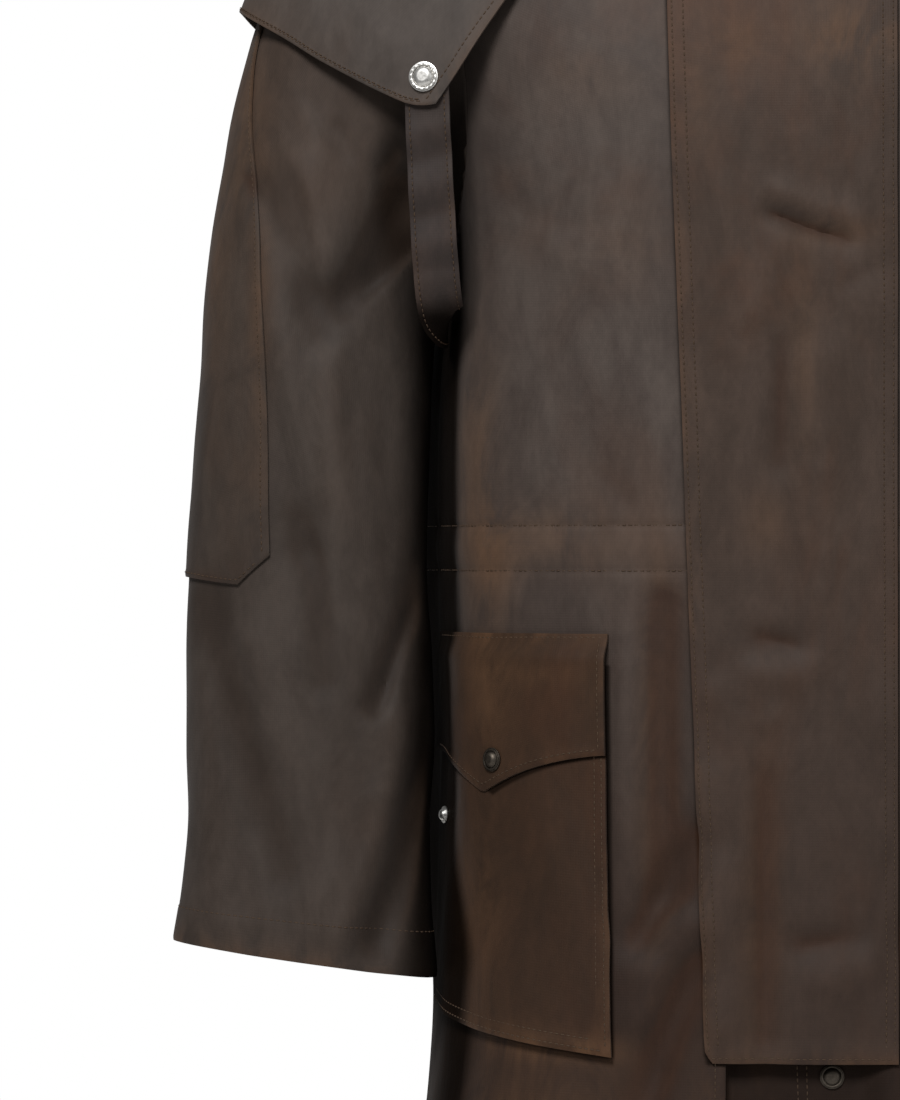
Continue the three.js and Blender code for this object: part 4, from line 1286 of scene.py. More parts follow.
    def _bump(
        self, tree: bpy.types.NodeTree, flat: bpy.types.NodeSocket,
        moved: bpy.types.NodeSocket,
    ) -> bpy.types.NodeSocket:
        """Build the small relief: soft crumples, fine wrinkles and the weave.

        Args:
            tree: The node tree.
            flat: The cloth's own coordinates.
            moved: The object's coordinates, moved for this finish.

        Returns:
            The normal.
        """
        crumple = add_node(
            tree, "TexNoise", None, Vector=moved,
            Scale=34.0, Detail=3.0, Roughness=0.5, Distortion=0.4,
        ).outputs["Fac"]
        normal = add_node(
            tree, "Bump", None, Height=crumple, Strength=0.4, Distance=2.6 * MM,
        ).outputs[0]
        wrinkle = add_node(
            tree, "TexNoise", None, Vector=moved,
            Scale=130.0, Detail=3.0, Roughness=0.55, Distortion=0.6,
        ).outputs["Fac"]
        normal = add_node(
            tree, "Bump", None, Height=wrinkle, Strength=0.3, Distance=0.5 * MM, Normal=normal,
        ).outputs[0]
        # Real threads are about 0.4 mm apart and wouldn't show, so they are drawn at 1.6 mm.
        weave = [
            add_node(
                tree, "TexWave", {"wave_type": "BANDS", "bands_direction": way},
                Vector=flat, Scale=2 * math.pi / (20 * 1.6 * MM), Distortion=0.6, Detail=1.0,
            ).outputs["Fac"] for way in ("X", "Y")
        ]
        cross = add_node(
            tree, "Math", {"operation": "ADD"}, i0=weave[0], i1=weave[1],
        ).outputs[0]
        return add_node(
            tree, "Bump", None, Height=cross, Strength=0.22, Distance=0.12 * MM, Normal=normal,
        ).outputs[0]

    @staticmethod
    def _ramp(
        tree: bpy.types.NodeTree, value: bpy.types.NodeSocket, low: float, high: float,
    ) -> bpy.types.NodeSocket:
        """Spread a value between two limits over 0 to 1."""
        settings = {"interpolation_type": "SMOOTHSTEP"}
        return add_node(tree, "MapRange", settings, Value=value, i1=low, i2=high).outputs[0]

    @staticmethod
    def _product(
        tree: bpy.types.NodeTree, value: bpy.types.NodeSocket, by: object,
    ) -> bpy.types.NodeSocket:
        """Multiply a value by another one."""
        return add_node(tree, "Math", {"operation": "MULTIPLY"}, i0=value, i1=by).outputs[0]

    @staticmethod
    def _blend(
        tree: bpy.types.NodeTree, share: bpy.types.NodeSocket, low: object, high: object,
    ) -> bpy.types.NodeSocket:
        """Mix two colours, each a hex value or a socket."""
        low, high = (linear(c) if isinstance(c, str) else c for c in (low, high))
        return add_node(
            tree, "Mix", {"data_type": "RGBA"}, i0=share, i6=low, i7=high,
        ).outputs[2]


@dataclass(frozen=True)
class Thread(Finish):
    """Waxed polyester sewing thread: round, tightly twisted, with a dull shine."""

    name: str
    colour: str
    pale: str

    def shade(self, tree: bpy.types.NodeTree) -> bpy.types.Node:
        """Build the nodes and give the shader."""
        place = add_node(tree, "TexCoord").outputs["Object"]
        tone = add_node(tree, "TexNoise", None, Vector=place, Scale=30.0, Detail=4.0)
        colour = add_node(
            tree, "Mix", {"data_type": "RGBA"}, i0=tone.outputs["Fac"],
            i6=linear(self.colour), i7=linear(self.pale),
        ).outputs[2]
        fine = add_node(tree, "TexNoise", None, Vector=place, Scale=1500.0, Detail=2.0)
        normal = add_node(
            tree, "Bump", None, Height=fine.outputs["Fac"], Strength=0.4, Distance=0.1 * MM,
        ).outputs[0]
        return add_node(
            tree, "BsdfPrincipled", None, Base_Color=colour, Roughness=0.6,
            Specular_IOR_Level=0.3, Normal=normal,
        )


@dataclass(frozen=True)
class SnapMetal(Finish):
    """A pressed brass snap cap, plated: bright nickel, or antiqued and rubbed bright."""

    name: str
    colour: str
    dark: str
    roughness: float

    def shade(self, tree: bpy.types.NodeTree) -> bpy.types.Node:
        """Build the nodes and give the shader."""
        place = add_node(tree, "TexCoord").outputs["Object"]
        grime = add_node(
            tree, "TexNoise", None, Vector=place, Scale=420.0, Detail=5.0, Roughness=0.65,
        ).outputs["Fac"]
        pointed = add_node(tree, "NewGeometry").outputs["Pointiness"]
        raised = add_node(
            tree, "MapRange", {"interpolation_type": "SMOOTHSTEP"},
            Value=pointed, i1=0.44, i2=0.54,
        ).outputs[0]
        share = add_node(tree, "Math", {"operation": "MULTIPLY"}, i0=grime, i1=raised)
        share = add_node(
            tree, "MapRange", None, Value=share.outputs[0], i1=0.0, i2=0.42,
        ).outputs[0]
        colour = add_node(
            tree, "Mix", {"data_type": "RGBA"}, i0=share,
            i6=linear(self.dark), i7=linear(self.colour),
        ).outputs[2]
        rough = add_node(
            tree, "MapRange", None, Value=grime,
            i3=self.roughness - 0.08, i4=self.roughness + 0.16,
        ).outputs[0]
        normal = add_node(
            tree, "Bump", None, Height=grime, Strength=0.15, Distance=0.1 * MM,
        ).outputs[0]
        return add_node(
            tree, "BsdfPrincipled", None, Base_Color=colour, Metallic=1.0,
            Roughness=rough, Normal=normal,
        )


@dataclass(frozen=True)
class PlainFloor(Finish):
    """A matt pale studio floor."""

    name: str = "floor"

    def shade(self, tree: bpy.types.NodeTree) -> bpy.types.Node:
        """Build the nodes and give the shader."""
        return add_node(
            tree, "BsdfPrincipled", None, Base_Color=linear("#e9e8e6"), Roughness=0.9,
        )


FRONT_LOOK = WaxedCotton("front", "#544a44", "#463c37", "#543b2d")
BACK_LOOK = WaxedCotton(
    "back", "#4c423c", "#403630", "#4e392c", crease_shade="#33271f", low_share=0.8, seed=3.1,
)
FLAP_LOOK = WaxedCotton(
    "flap", "#4b3d35", "#3f322a", "#523524", low_share=0.55, rust_share=0.7, seed=1.3,
)
SLEEVE_LOOK = WaxedCotton(
    "sleeve", "#453c36", "#39302a", "#44342a", low_share=0.2, crease_shade="#382c24", seed=5.2,
)
CAPE_LOOK = WaxedCotton(
    "cape", "#504843", "#463e39", "#4e3f35", rust_share=0.3, edge_wear=0.25,
    roughness=0.64, seed=7.7,
)
COLLAR_LOOK = WaxedCotton("collar", "#4d4540", "#433b36", "#4d3d34", rust_share=0.3, seed=8.4)
POCKET_LOOK = WaxedCotton(
    "pocket", "#3f2a1a", "#352416", "#462b19", low_share=0.45, rust_share=0.7, seed=2.2,
)
PATCH_LOOK = WaxedCotton(
    "patch", "#433932", "#372e28", "#4a3628", low_share=0.2, rust_share=0.45,
    edge_wear=0.12, seed=6.1,
)
STRAP_LOOK = WaxedCotton(
    "strap", "#3e3532", "#342c29", "#3e3129", rust_share=0.2, edge_wear=0.15, seed=4.5,
)
BROWN_THREAD = Thread("brown_thread", "#3e3127", "#574331")
BRIGHT_METAL = SnapMetal("bright_metal", "#eceae6", "#8b8985", 0.36)
DARK_METAL = SnapMetal("dark_metal", "#5a534b", "#171411", 0.46)


@dataclass
class Seam:
    """A row of stitches along a line on a panel.

    Attributes:
        panel: The panel that is sewn.
        across: Shares across of the line's points.
        down: Shares down of the line's points.
        lift: How far the cloth stands off the panel's own face there.
    """

    panel: Panel
    across: np.ndarray
    down: np.ndarray
    lift: float = 0.0

    @classmethod
    def along(cls, panel: Panel, inset: float, last: bool, ends: float, lift: float = 0.45) -> "Seam":
        """Sew down a panel beside one of its side edges.

        Args:
            panel: The panel.
            inset: How far the row is from the edge, in millimetres.
            last: Whether the edge is the panel's last column.
            ends: How far the row stops short of both ends.
            lift: How far the cloth stands off the panel's own face.

        Returns:
            The row.
        """
        down = np.linspace(ends, panel.length - ends, round(panel.length / 3)) / panel.length
        share = inset / panel.width
        return cls(panel, np.full_like(down, 1 - share if last else share), down, lift)

    @classmethod
    def around(cls, panel: Panel, inset: float, bottom: bool, ends: float, lift: float = 0.45) -> "Seam":
        """Sew across a panel beside its top or its bottom edge.

        Args:
            panel: The panel.
            inset: How far the row is from the edge, in millimetres.
            bottom: Whether the edge is the bottom one.
            ends: How far the row stops short of both sides.
            lift: How far the cloth stands off the panel's own face.

        Returns:
            The row.
        """
        across = np.linspace(ends, panel.width - ends, round(panel.width / 3)) / panel.width
        share = inset / panel.length
        return cls(panel, across, np.full_like(across, 1 - share if bottom else share), lift)

    def line(self) -> tuple[np.ndarray, np.ndarray]:
        """Give the points of the line and the cloth's directions there."""
        u, v = self.panel.place(self.across, self.down)
        facing = self.panel.surface.facing(u, v)
        out = np.asarray(self.panel.out(u, v) + self.lift, dtype=float)
        points = self.panel.surface.points(u, v) + facing * np.broadcast_to(out, u.shape)[:, None]
        return points, facing


@dataclass
class Stitching:
    """All the stitches of one part of the coat, in one thread.

    Each stitch is a small sunk bead, 3 mm long with a hole's width between two.
    """

    name: str
    slot: str
    thread: Thread
    seams: list[Seam]
    pitch: float = 4.0
    length: float = 3.1
    radius: float = 0.42

    def build(self) -> bpy.types.Object:
        """Make the stitches, put them on and let them ride."""
        points, faces, count = [], [], 0
        shape, index = self._bead()
        for seam in self.seams:
            line, facing = seam.line()
            lengths = Panel._lengths(line)
            places = np.arange(self.pitch, lengths[-1] - self.pitch / 2, self.pitch)
            middle, ahead = self._read(line, lengths, places), self._read(line, lengths, places + 0.6)
            up = unit(self._read(facing, lengths, places))
            along = unit(ahead - middle)
            side = np.cross(up, along)
            bead = (
                middle[:, None] + along[:, None] * shape[None, :, :1]
                + side[:, None] * shape[None, :, 1:2] + up[:, None] * shape[None, :, 2:]
            )
            points.append(bead.reshape(-1, 3))
            starts = count + np.arange(len(places)) * len(shape)
            faces.append((index[None] + starts[:, None, None]).reshape(-1, 3))
            count += bead.shape[0] * bead.shape[1]
        piece = new_object(self.name, np.concatenate(points), np.concatenate(faces))
        piece.data.shade_smooth()
        self.thread.put_on(piece)
        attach(piece, "root")
        LOG.info("%s: %d stitches", self.name, count // len(shape))
        return piece

    @staticmethod
    def _read(values: np.ndarray, lengths: np.ndarray, places: np.ndarray) -> np.ndarray:
        """Read rows of values at distances along a line."""
        return np.stack([np.interp(places, lengths, values[:, k]) for k in range(3)], axis=-1)

    def _bead(self) -> tuple[np.ndarray, np.ndarray]:
        """Give the points and triangles of one stitch, along +X with +Z up."""
        ends = [(-self.length / 2, 0, -0.1), (self.length / 2, 0, -0.1)]
        rings = []
        for x, size in ((-self.length * 0.3, 1.0), (self.length * 0.3, 1.0)):
            rings += [
                (x, size * self.radius * math.cos(a), size * self.radius * (math.sin(a) + 0.15))
                for a in np.radians([0, 90, 180, 270])
            ]
        index = []
        for k in range(4):
            a, b = 2 + k, 2 + (k + 1) % 4
            index += [(0, b, a), (a, b, b + 4), (a, b + 4, a + 4), (1, a + 4, b + 4)]
        return np.array(ends + rings), np.array(index)


class Hang(Enum):
    """How a piece of cloth is held."""

    HUNG = "hung"
    DRAPED = "draped"
    FOLDED = "folded"


@dataclass
class Sewing:
    """What every cloth piece has in common: finish, solid and cut.

    Attributes:
        shell: The piece's wall.
        look: Its finish.
        slot: The material slot's name; not used.
        node: The solid that it stands for, or none for a piece beside one that does.
        rests: The nodes that carry it; not used.
        held: How it is held; not used.
    """

    shell: Shell
    look: WaxedCotton
    slot: str
    node: str | None
    rests: Sequence[str]
    held: Hang = Hang.HUNG

    def build(
        self, cutters: Sequence[bpy.types.Object] = (), strips: Sequence[bpy.types.Object] = (),
    ) -> bpy.types.Object:
        """Args:
            cutters: Closed meshes whose inside is taken out of the piece.
            strips: Narrow strips that are sewn to it and become part of it.

        Returns:
            The finished piece.
        """
        piece = self.shell.build()
        if strips:
            make_active(piece)
            for strip in strips:
                strip.select_set(True)
            bpy.ops.object.join()
        for cutter in cutters:
            cut_away(piece, cutter)
        make_active(piece)
        bpy.ops.object.shade_smooth_by_angle(angle=math.radians(38))
        self.look.put_on(piece)
        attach(piece, "root")
        if self.node:
            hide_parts(self.node)
        flat = self.shell.flat()
        return piece


def cut_away(piece: bpy.types.Object, cutter: bpy.types.Object) -> None:
    """Take a closed mesh's inside out of a piece, with the modifier applied."""
    make_active(piece)
    cut = piece.modifiers.new("cut", "BOOLEAN")
    cut.operation = "DIFFERENCE"
    cut.solver = "EXACT"
    cut.object = cutter
    bpy.ops.object.modifier_apply(modifier=cut.name)


def filled(name: str, rings: np.ndarray) -> bpy.types.Object:
    """Make a filled solid through closed rings of points, for cutting.

    Args:
        name: The cutter's name.
        rings: Points by ring and by column.

    Returns:
        The cutter.
    """
    count, columns = rings.shape[:2]
    r, c = np.meshgrid(np.arange(count - 1), np.arange(columns), indexing="ij")
    here, there = r * columns + c, r * columns + (c + 1) % columns
    faces = np.stack([here, here + columns, there + columns, there], -1).reshape(-1, 4)
    points = np.concatenate([rings.reshape(-1, 3), rings[0].mean(0)[None], rings[-1].mean(0)[None]])
    c = np.arange(columns)
    d = (c + 1) % columns
    first = np.stack([np.full(columns, count * columns), c, d], -1)
    last = (count - 1) * columns
    end = np.stack([np.full(columns, count * columns + 1), last + d, last + c], -1)
    triangles = np.concatenate([faces[:, [0, 1, 2]], faces[:, [0, 2, 3]], first, end])
    if signed_volume(points, triangles) < 0:
        triangles = triangles[:, ::-1]
    return new_object(name, points, triangles)


def constant(value: float) -> Callable[[np.ndarray], np.ndarray]:
    """Give a function that has one value everywhere."""
    return lambda places: np.full_like(np.asarray(places, dtype=float), value)


@dataclass
class Body:
    """The coat's body: the back and the two fronts, with armholes cut for the sleeves.

    Attributes:
        channel: Heights of the two stitch rows of the waist's drawcord channel.
        hem: How deep the hem is turned up.
        seam_x: Where the underlap's seam is, from the middle.
    """

    channel: tuple[float, float] = (-442.0, -470.5)
    hem: float = 26.0
    seam_x: float = 4.0
    pitch: float = 5.0
    back: Panel = field(init=False)
    front_right: Panel = field(init=False)
    front_left: Panel = field(init=False)

    def __post_init__(self) -> None:
        """Lay out the three panels."""
        top, bottom = constant(0.0), constant(float(BODY.last))
        self.back = Panel(
            BODY_FACE, lambda v: 180 - seam_angle(v), lambda v: 180 + seam_angle(v), top, bottom,
        )
        self.front_right = Panel(
            BODY_FACE, lambda v: -seam_angle(v),
            lambda v: angle_at_x(BODY.at(v), scaled_x(BODY.at(v), -EDGE_X)), top, bottom,
        )
        self.front_left = Panel(
            BODY_FACE, lambda v: angle_at_x(BODY.at(v), scaled_x(BODY.at(v), UNDERLAP_X)),
            seam_angle, top, bottom, underlap_inset,
        )

    def share_at(self, panel: Panel, z: float) -> float:
        """Give how far down a panel a height of its front is."""
        levels = panel.place(np.full(400, 0.5), np.linspace(0, 1, 400))[1]
        heights = panel.surface.points(*panel.place(np.full(400, 0.5), np.linspace(0, 1, 400)))
        order = np.argsort(-heights[:, 2])
        return float(np.interp(-z, -heights[order, 2], np.linspace(0, 1, len(levels))[order]))

    def puckers(self, panel: Panel) -> Field:
        """Draw the cloth in along the channel's two rows of stitches.

        Args:
            panel: The panel that the channel crosses.

        Returns:
            The height that the puckers add, by shares across and down.
        """
        rows = [self.share_at(panel, z) for z in self.channel]

        def lift(across: np.ndarray, down: np.ndarray) -> np.ndarray:
            run = across * panel.width
            wave = np.sin(run / 2.3 + 1.4 * np.sin(run / 19)) + 0.6 * np.sin(run / 4.1 + 2)
            out = np.zeros_like(across)
            for share in rows:
                away = (down - share) * panel.length
                out += -0.7 * np.exp(-((away / 2.2) ** 2))
                out += 0.32 * wave * np.exp(-((away / 7.0) ** 2))
            middle = (down - sum(rows) / 2) * panel.length
            return out + 0.9 * np.exp(-((middle / 9.0) ** 2))

        return lift

    def build(self, armholes: Sequence[bpy.types.Object]) -> None:
        """Make the three panels and their stitches.

        Args:
            armholes: What is taken out of the body, the right side first.
        """
        pieces = (
            ("back", self.back, BACK_LOOK, Edges(bottom=self.hem), armholes, ["collar"]),
            (
                "front_right", self.front_right, FRONT_LOOK,
                Edges(last=14, bottom=self.hem), armholes[:1], ["back"],
            ),
            (
                "front_left", self.front_left, FRONT_LOOK,
                Edges(first=14, bottom=self.hem), armholes[1:], ["back"],
            ),
        )
        for name, panel, look, edges, cutters, rests in pieces:
            rows = [self.share_at(panel, z) for z in self.channel]
            steps = [row + k * 2.4 / panel.length for row in rows for k in range(-4, 5)]
            shell = Shell(
                "cloth_" + name, panel, edges, self.pitch,
                lift=self.puckers(panel), beside=beside_on_front, extra_down=steps,
            )
            Sewing(shell, look, look.name, name, rests).build(cutters)
        self.sew()

    def sew(self) -> None:
        """Add the stitches of the channel, the front edges, the underlap and the hem."""
        rows = []
        for panel in (self.back, self.front_right, self.front_left):
            rows.append(Seam.around(panel, self.hem - 4, True, 4, 0.4))
            for z in self.channel:
                across = np.linspace(4, panel.width - 4, round(panel.width / 3)) / panel.width
                down = np.full_like(across, self.share_at(panel, z))
                rows.append(Seam(panel, across, down, -0.62))
        rows.append(Seam.along(self.front_right, 6, True, 4))
        rows.append(Seam.along(self.front_left, 6, False, 4))
        Stitching("stitches_body", "front", BROWN_THREAD, rows).build()
        low = self.share_at(self.front_left, -700)
        across = np.interp(
            [self.seam_x, self.seam_x + 7], [UNDERLAP_X, 0.0, 40.0],
            self._shares_at_x([UNDERLAP_X, 0.0, 40.0]),
        )
        welt = []
        for share in across:
            down = np.linspace(low, 0.995, 180)
            welt.append(Seam(self.front_left, np.full_like(down, share), down, 0.1))
        Stitching("stitches_underlap", "front", BROWN_THREAD, welt).build()

    def _shares_at_x(self, places: Sequence[float]) -> list[float]:
        """Give the left front's shares across at distances from the middle, low down."""
        shares = np.linspace(0, 1, 300)
        points = BODY_FACE.points(*self.front_left.place(shares, np.full(300, 0.7)))
        return [float(np.interp(x, points[:, 0], shares)) for x in places]


@dataclass
class Sleeve:
    """A sleeve and its elbow patch."""

    side: Side
    pitch: float = 3.4
    patch_foot: float = 0.85
    patch_cloth: float = 1.4
    cuff: float = 22.0
    panel: Panel = field(init=False)
    patch: Panel = field(init=False)

    def __post_init__(self) -> None:
        """Lay out the sleeve and the patch."""
        face = SleeveSurface(self.side)
        self.panel = Panel(
            face, constant(180.0), constant(540.0), constant(0.0), constant(float(SLEEVE.last)),
        )
        self.patch = Panel(
            face, lambda v: -SLEEVE.at(v)["patch_angle"], lambda v: SLEEVE.at(v)["patch_angle"],
            constant(3.8), self._patch_bottom,
            lambda u, v: self.patch_foot + self.patch_cloth,
        )

    def _patch_bottom(self, share: np.ndarray) -> np.ndarray:
        """Cut the patch's lower corners off."""
        corner = np.maximum(0, 1 - np.minimum(share, 1 - share) / 0.11)
        return 9.62 - 0.3 * corner

    def hollow(self, out: float = -CLOTH) -> bpy.types.Object:
        """Fill the sleeve's upper end, for cutting the armhole."""
        level, angle = np.meshgrid(np.linspace(0, 3, 16), np.arange(0, 360, 6.0), indexing="ij")
        return filled("hollow", self.panel.surface.lifted(angle, level, out))

    def build(self, body: bpy.types.Object) -> None:
        """Make the sleeve, its patch and their stitches.

        Args:
            body: The filled body, which the sleeve's upper end stops at.
        """
        side = self.side.name.lower()
        edges = Edges(bottom=self.cuff)
        shell = Shell(f"cloth_sleeve_{side}", self.panel, edges, self.pitch, tube=True)
        front = f"front_{side}"
        Sewing(shell, SLEEVE_LOOK, "sleeve", f"sleeve_{side}", ["back", front]).build([body])
        patch = Shell(
            f"cloth_elbow_patch_{side}", self.patch, Edges(4, 4, 0, 4), 4.0, self.patch_cloth,
        )
        node = f"elbow_patch_{side}"
        Sewing(patch, PATCH_LOOK, "patch", node, [f"sleeve_{side}"], Hang.DRAPED).build()
        across = np.linspace(0, 1, 120)
        cuff = Seam(self.panel, across, np.full_like(across, 1 - self.cuff / self.panel.length), 0.1)
        Stitching(f"stitches_cuff_{side}", "sleeve", BROWN_THREAD, [cuff]).build()
        rows = [
            Seam.along(self.patch, 3, False, 3, 0.35), Seam.along(self.patch, 3, True, 3, 0.35),
            Seam.around(self.patch, 3, True, 5, 0.35),
        ]
        Stitching(f"stitches_patch_{side}", "patch", BROWN_THREAD, rows).build()


@dataclass
class CapeAndCollar:
    """The shoulder cape, its two straps and the collar."""

    collar_end: float = 12.0
    strap_cloth: float = 1.6

    def build(self) -> None:
        """Make the cape, the collar, the straps and their stitches."""
        cape = Panel(
            CapeSurface(), constant(0.0), constant(1.0), constant(0.0), self._cape_hem,
        )
        shell = Shell("cloth_cape", cape, Edges(8, 8, 0, 8), 5.0)
        Sewing(shell, CAPE_LOOK, "cape", "cape", ["back", "collar"], Hang.DRAPED).build()
        rows = [
            Seam.along(cape, 6, False, 6), Seam.along(cape, 6, True, 6),
            Seam.around(cape, 6, True, 6), Seam.around(cape, 9, True, 9),
        ]
        Stitching("stitches_cape", "cape", BROWN_THREAD, rows).build()
        collar = Panel(
            CollarSurface(), constant(self.collar_end), constant(360 - self.collar_end),
            constant(0.0), constant(float(COLLAR.last)),
        )
        shell = Shell("cloth_collar", collar, Edges(6, 6, 0, 6), 4.0)
        Sewing(shell, COLLAR_LOOK, "collar", "collar", ["back"], Hang.FOLDED).build()
        rows = [
            Seam.along(collar, 5, False, 5), Seam.along(collar, 5, True, 5),
            Seam.around(collar, 5, True, 5),
        ]
        Stitching("stitches_collar", "collar", BROWN_THREAD, rows).build()
        for side in Side:
            self._strap(side)

    @staticmethod
    def _cape_hem(share: np.ndarray) -> np.ndarray:
        """Round the cape's two lower corners."""
        corner = np.maximum(0, 1 - np.minimum(share, 1 - share) / 0.014)
        return CAPE.last - 0.3 * corner**1.9

    def _strap(self, side: Side) -> None:
        """Make the strap of one side."""
        name = side.name.lower()
        panel = Panel(
            StrapSurface(side), constant(-1.0), constant(1.0),
            constant(0.0), constant(float(STRAP.last)),
        )
        shell = Shell(f"cloth_strap_{name}", panel, Edges(3, 3), 3.0, self.strap_cloth)
        node = f"cape_strap_{name}"
        Sewing(shell, STRAP_LOOK, "strap", node, ["cape", f"sleeve_{name}"]).build()
        rows = [Seam.along(panel, 3, False, 4), Seam.along(panel, 3, True, 4)]
        Stitching(f"stitches_strap_{name}", "strap", BROWN_THREAD, rows).build()


@dataclass
class StormFlap:
    """The flap that closes over the fronts, sewn along its left side."""

    clear: float = 1.0
    neck_z: float = -62.0

    def build(self) -> None:
        """Make the flap and its stitches."""
        bottom = float(level_at_z(FLAP_BOTTOM_Z))
        panel = Panel(
            FLAP_FACE, constant(0.0), constant(1.0), constant(float(level_at_z(self.neck_z))),
            lambda share: bottom - 0.05 * np.maximum(0, 1 - share / 0.03),
            lambda u, v: self.clear + CLOTH,
        )
        shell = Shell("cloth_storm_flap", panel, Edges(12, 0, 8, 12), 4.0)
        rests = ["front_left", "front_right"]
        Sewing(shell, FLAP_LOOK, "flap", "storm_flap", rests).build()
        rows = [
            Seam.along(panel, 3, False, 3, 0.4), Seam.along(panel, 10, False, 10, 0.4),
            Seam.along(panel, 2.5, True, 2, 0.05), Seam.along(panel, 8.5, True, 2, 0.05),
            Seam.around(panel, 3, True, 3, 0.4), Seam.around(panel, 4, False, 4, 0.4),
        ]
        Stitching("stitches_flap", "flap", BROWN_THREAD, rows).build()


@dataclass
class Pocket:
    """A bellows pocket with its gusset and its pointed flap.

    Attributes:
        side: The side that it is on.
        stand: How far the flap stands over the pocket's panel.
        gusset_set: How far inside the panel's edge the gusset lies.
    """

    side: Side
    stand: float = 2 * CLOTH + FOOT
    gusset_set: float = 4.0
    gusset_cloth: float = 1.2
    bottom_rise: ClassVar[float] = 25.0

    @staticmethod
    def edge_x(z: np.ndarray) -> np.ndarray:
        """Give the distance of the pocket's front edge from the middle at a height."""
        share = (POCKET_FLAP_TOP_Z - z) / (POCKET_FLAP_TOP_Z - POCKET_BOTTOM_Z)
        return lerp(-116.0, -112.0, np.clip(share, 0, 1))

    @staticmethod
    def flap_edge(share: np.ndarray) -> np.ndarray:
        """Give the height of the flap's pointed lower edge at a share across."""
        return lerp(-586.0, -611.0, (1 - np.abs(2 * share - 1)) ** 1.6)

    @classmethod
    def share_at(cls, x: np.ndarray, z: float) -> np.ndarray:
        """Give how far across the pocket a place of the right front is.

        Args:
            x: Distances from the middle, negative on the right.
            z: The height.

        Returns:
            Shares from 0 at the side seam to 1 at the front edge.
        """
        ring = BODY.at(level_at_z(z))
        front = angle_at_x(ring, cls.edge_x(np.float64(z)))
        return np.clip((angle_at_x(ring, x) - POCKET_FAR) / (front - POCKET_FAR), 0, 1)

    @classmethod
    def bottom_z(cls, x: np.ndarray) -> np.ndarray:
        """Give the height of the pocket's lower edge at distances from the middle."""
        return POCKET_BOTTOM_Z + cls.bottom_rise * (1 - cls.share_at(x, -760.0))

    @classmethod
    def below_flap(cls, point: np.ndarray) -> np.ndarray:
        """Give how far points of the pocket are below its flap's edge."""
        return cls.flap_edge(cls.share_at(-np.abs(point[..., 0]), -600.0)) - point[..., 2]

    def _edges(self, grow: float, far: float) -> tuple[Callable, Callable]:
        """Give the panel's two side edges as angles by level.

        Args:
            grow: How far the front edge is moved towards the middle, in millimetres.
            far: Degrees by which the side edge is moved towards the front.

        Returns:
            The side edge and the front edge.
        """
        sign = self.side.value

        def front(v: np.ndarray) -> np.ndarray:
            ring = BODY.at(v)
            return sign * angle_at_x(ring, self.edge_x(ring["front_z"]) + grow)

        return (lambda v: np.full_like(v, sign * (POCKET_FAR + far))), front

    def _bottom(self, rise: float) -> Callable[[np.ndarray], np.ndarray]:
        """Give the level of an edge along the pocket's bottom, higher at the side."""
        return lambda share: level_at_z(POCKET_BOTTOM_Z + rise + self.bottom_rise * (1 - share))

    def build(self) -> None:
        """Make the panel, the gusset, the flap and their stitches."""
        panel = self._panel()
        flap = self._flap()
        side = self.side.name.lower()
        rows = [
            Seam.along(panel, 3, True, 3, 0.4), Seam.along(panel, 8, True, 40, 0.1),
            Seam.around(panel, 3, True, 3, 0.4), Seam.around(panel, 9, True, 9, 0.05),
            Seam.along(flap, 5, True, 5, 0.4), Seam.around(flap, 5, True, 5, 0.4),
            Seam.around(flap, 3, False, 3, 0.1),
        ]
        rows += self._tack(panel)
        Stitching(f"stitches_pocket_{side}", "pocket", BROWN_THREAD, rows).build()

    def _panel(self) -> Panel:
        """Make the pocket's panel and the gusset behind its front and bottom edges."""
        side = self.side.name.lower()
        far, front = self._edges(0.0, 0.0)
        panel = Panel(
            BODY_FACE, far, front, constant(float(level_at_z(POCKET_TOP_Z))), self._bottom(0.0),
            lambda u, v: pocket_out(u) + CLOTH,
        )
        shell = Shell(
            f"cloth_pocket_{side}", panel, Edges(0, 6, 10, 6), 4.0, lift=self._slack(panel),
            beside=self.below_flap,
        )
        run = np.linspace(0.02, 0.985, 60)
        inset = np.full_like(run, 1 - self.gusset_set / panel.width)
        strips = [self._gusset(panel, inset, run)]
        inset = np.full_like(run, 1 - self.gusset_set / panel.length)
        strips.append(self._gusset(panel, run, inset))
        pocket = Sewing(shell, POCKET_LOOK, "pocket", f"pocket_{side}", [f"front_{side}"])
        pocket.build(strips=strips)
        return panel

    def _slack(self, panel: Panel) -> Field:
        """Let the panel bag a little, with soft folds down it."""
        def lift(across: np.ndarray, down: np.ndarray) -> np.ndarray:
            bag = np.sin(math.pi * across) * np.sin(math.pi * np.clip(down, 0, 1))
            folds = np.sin(across * 17 + 2.2 * np.sin(down * 4 + 1)) * 0.8
            slant = np.sin(across * 9 - down * 11 + 0.6) * 0.5
            return bag * (1.2 + folds + slant)

        return lift

    def _gusset(self, panel: Panel, across: np.ndarray, down: np.ndarray) -> bpy.types.Object:
        """Make one strip of the gusset, from the coat's front to the pocket's panel.

        Args:
            panel: The pocket's panel.
            across: Shares across of the strip's line.
            down: Shares down of the strip's line.

        Returns:
            The strip.
        """
        u, v = panel.place(across, down)
        face, body = panel.surface.facing(u, v), panel.surface.points(u, v)
        inward = unit(np.cross(unit(np.gradient(body, axis=0)), face))
        inward *= np.sign(np.sum(inward * (body[::-1].mean(0) - body), axis=-1, keepdims=True))
        heights = np.linspace(0, 1, 5)
        out = lerp(0.25, (pocket_out(u) - 0.2)[:, None], heights[None])
        fold = 1.1 * np.sin(np.pi * heights)[None, :, None]
        outer = body[:, None] + face[:, None] * out[..., None] + inward[:, None] * fold
        inner = outer + inward[:, None] * self.gusset_cloth
        return Shell("gusset", panel)._mesh(outer, inner)

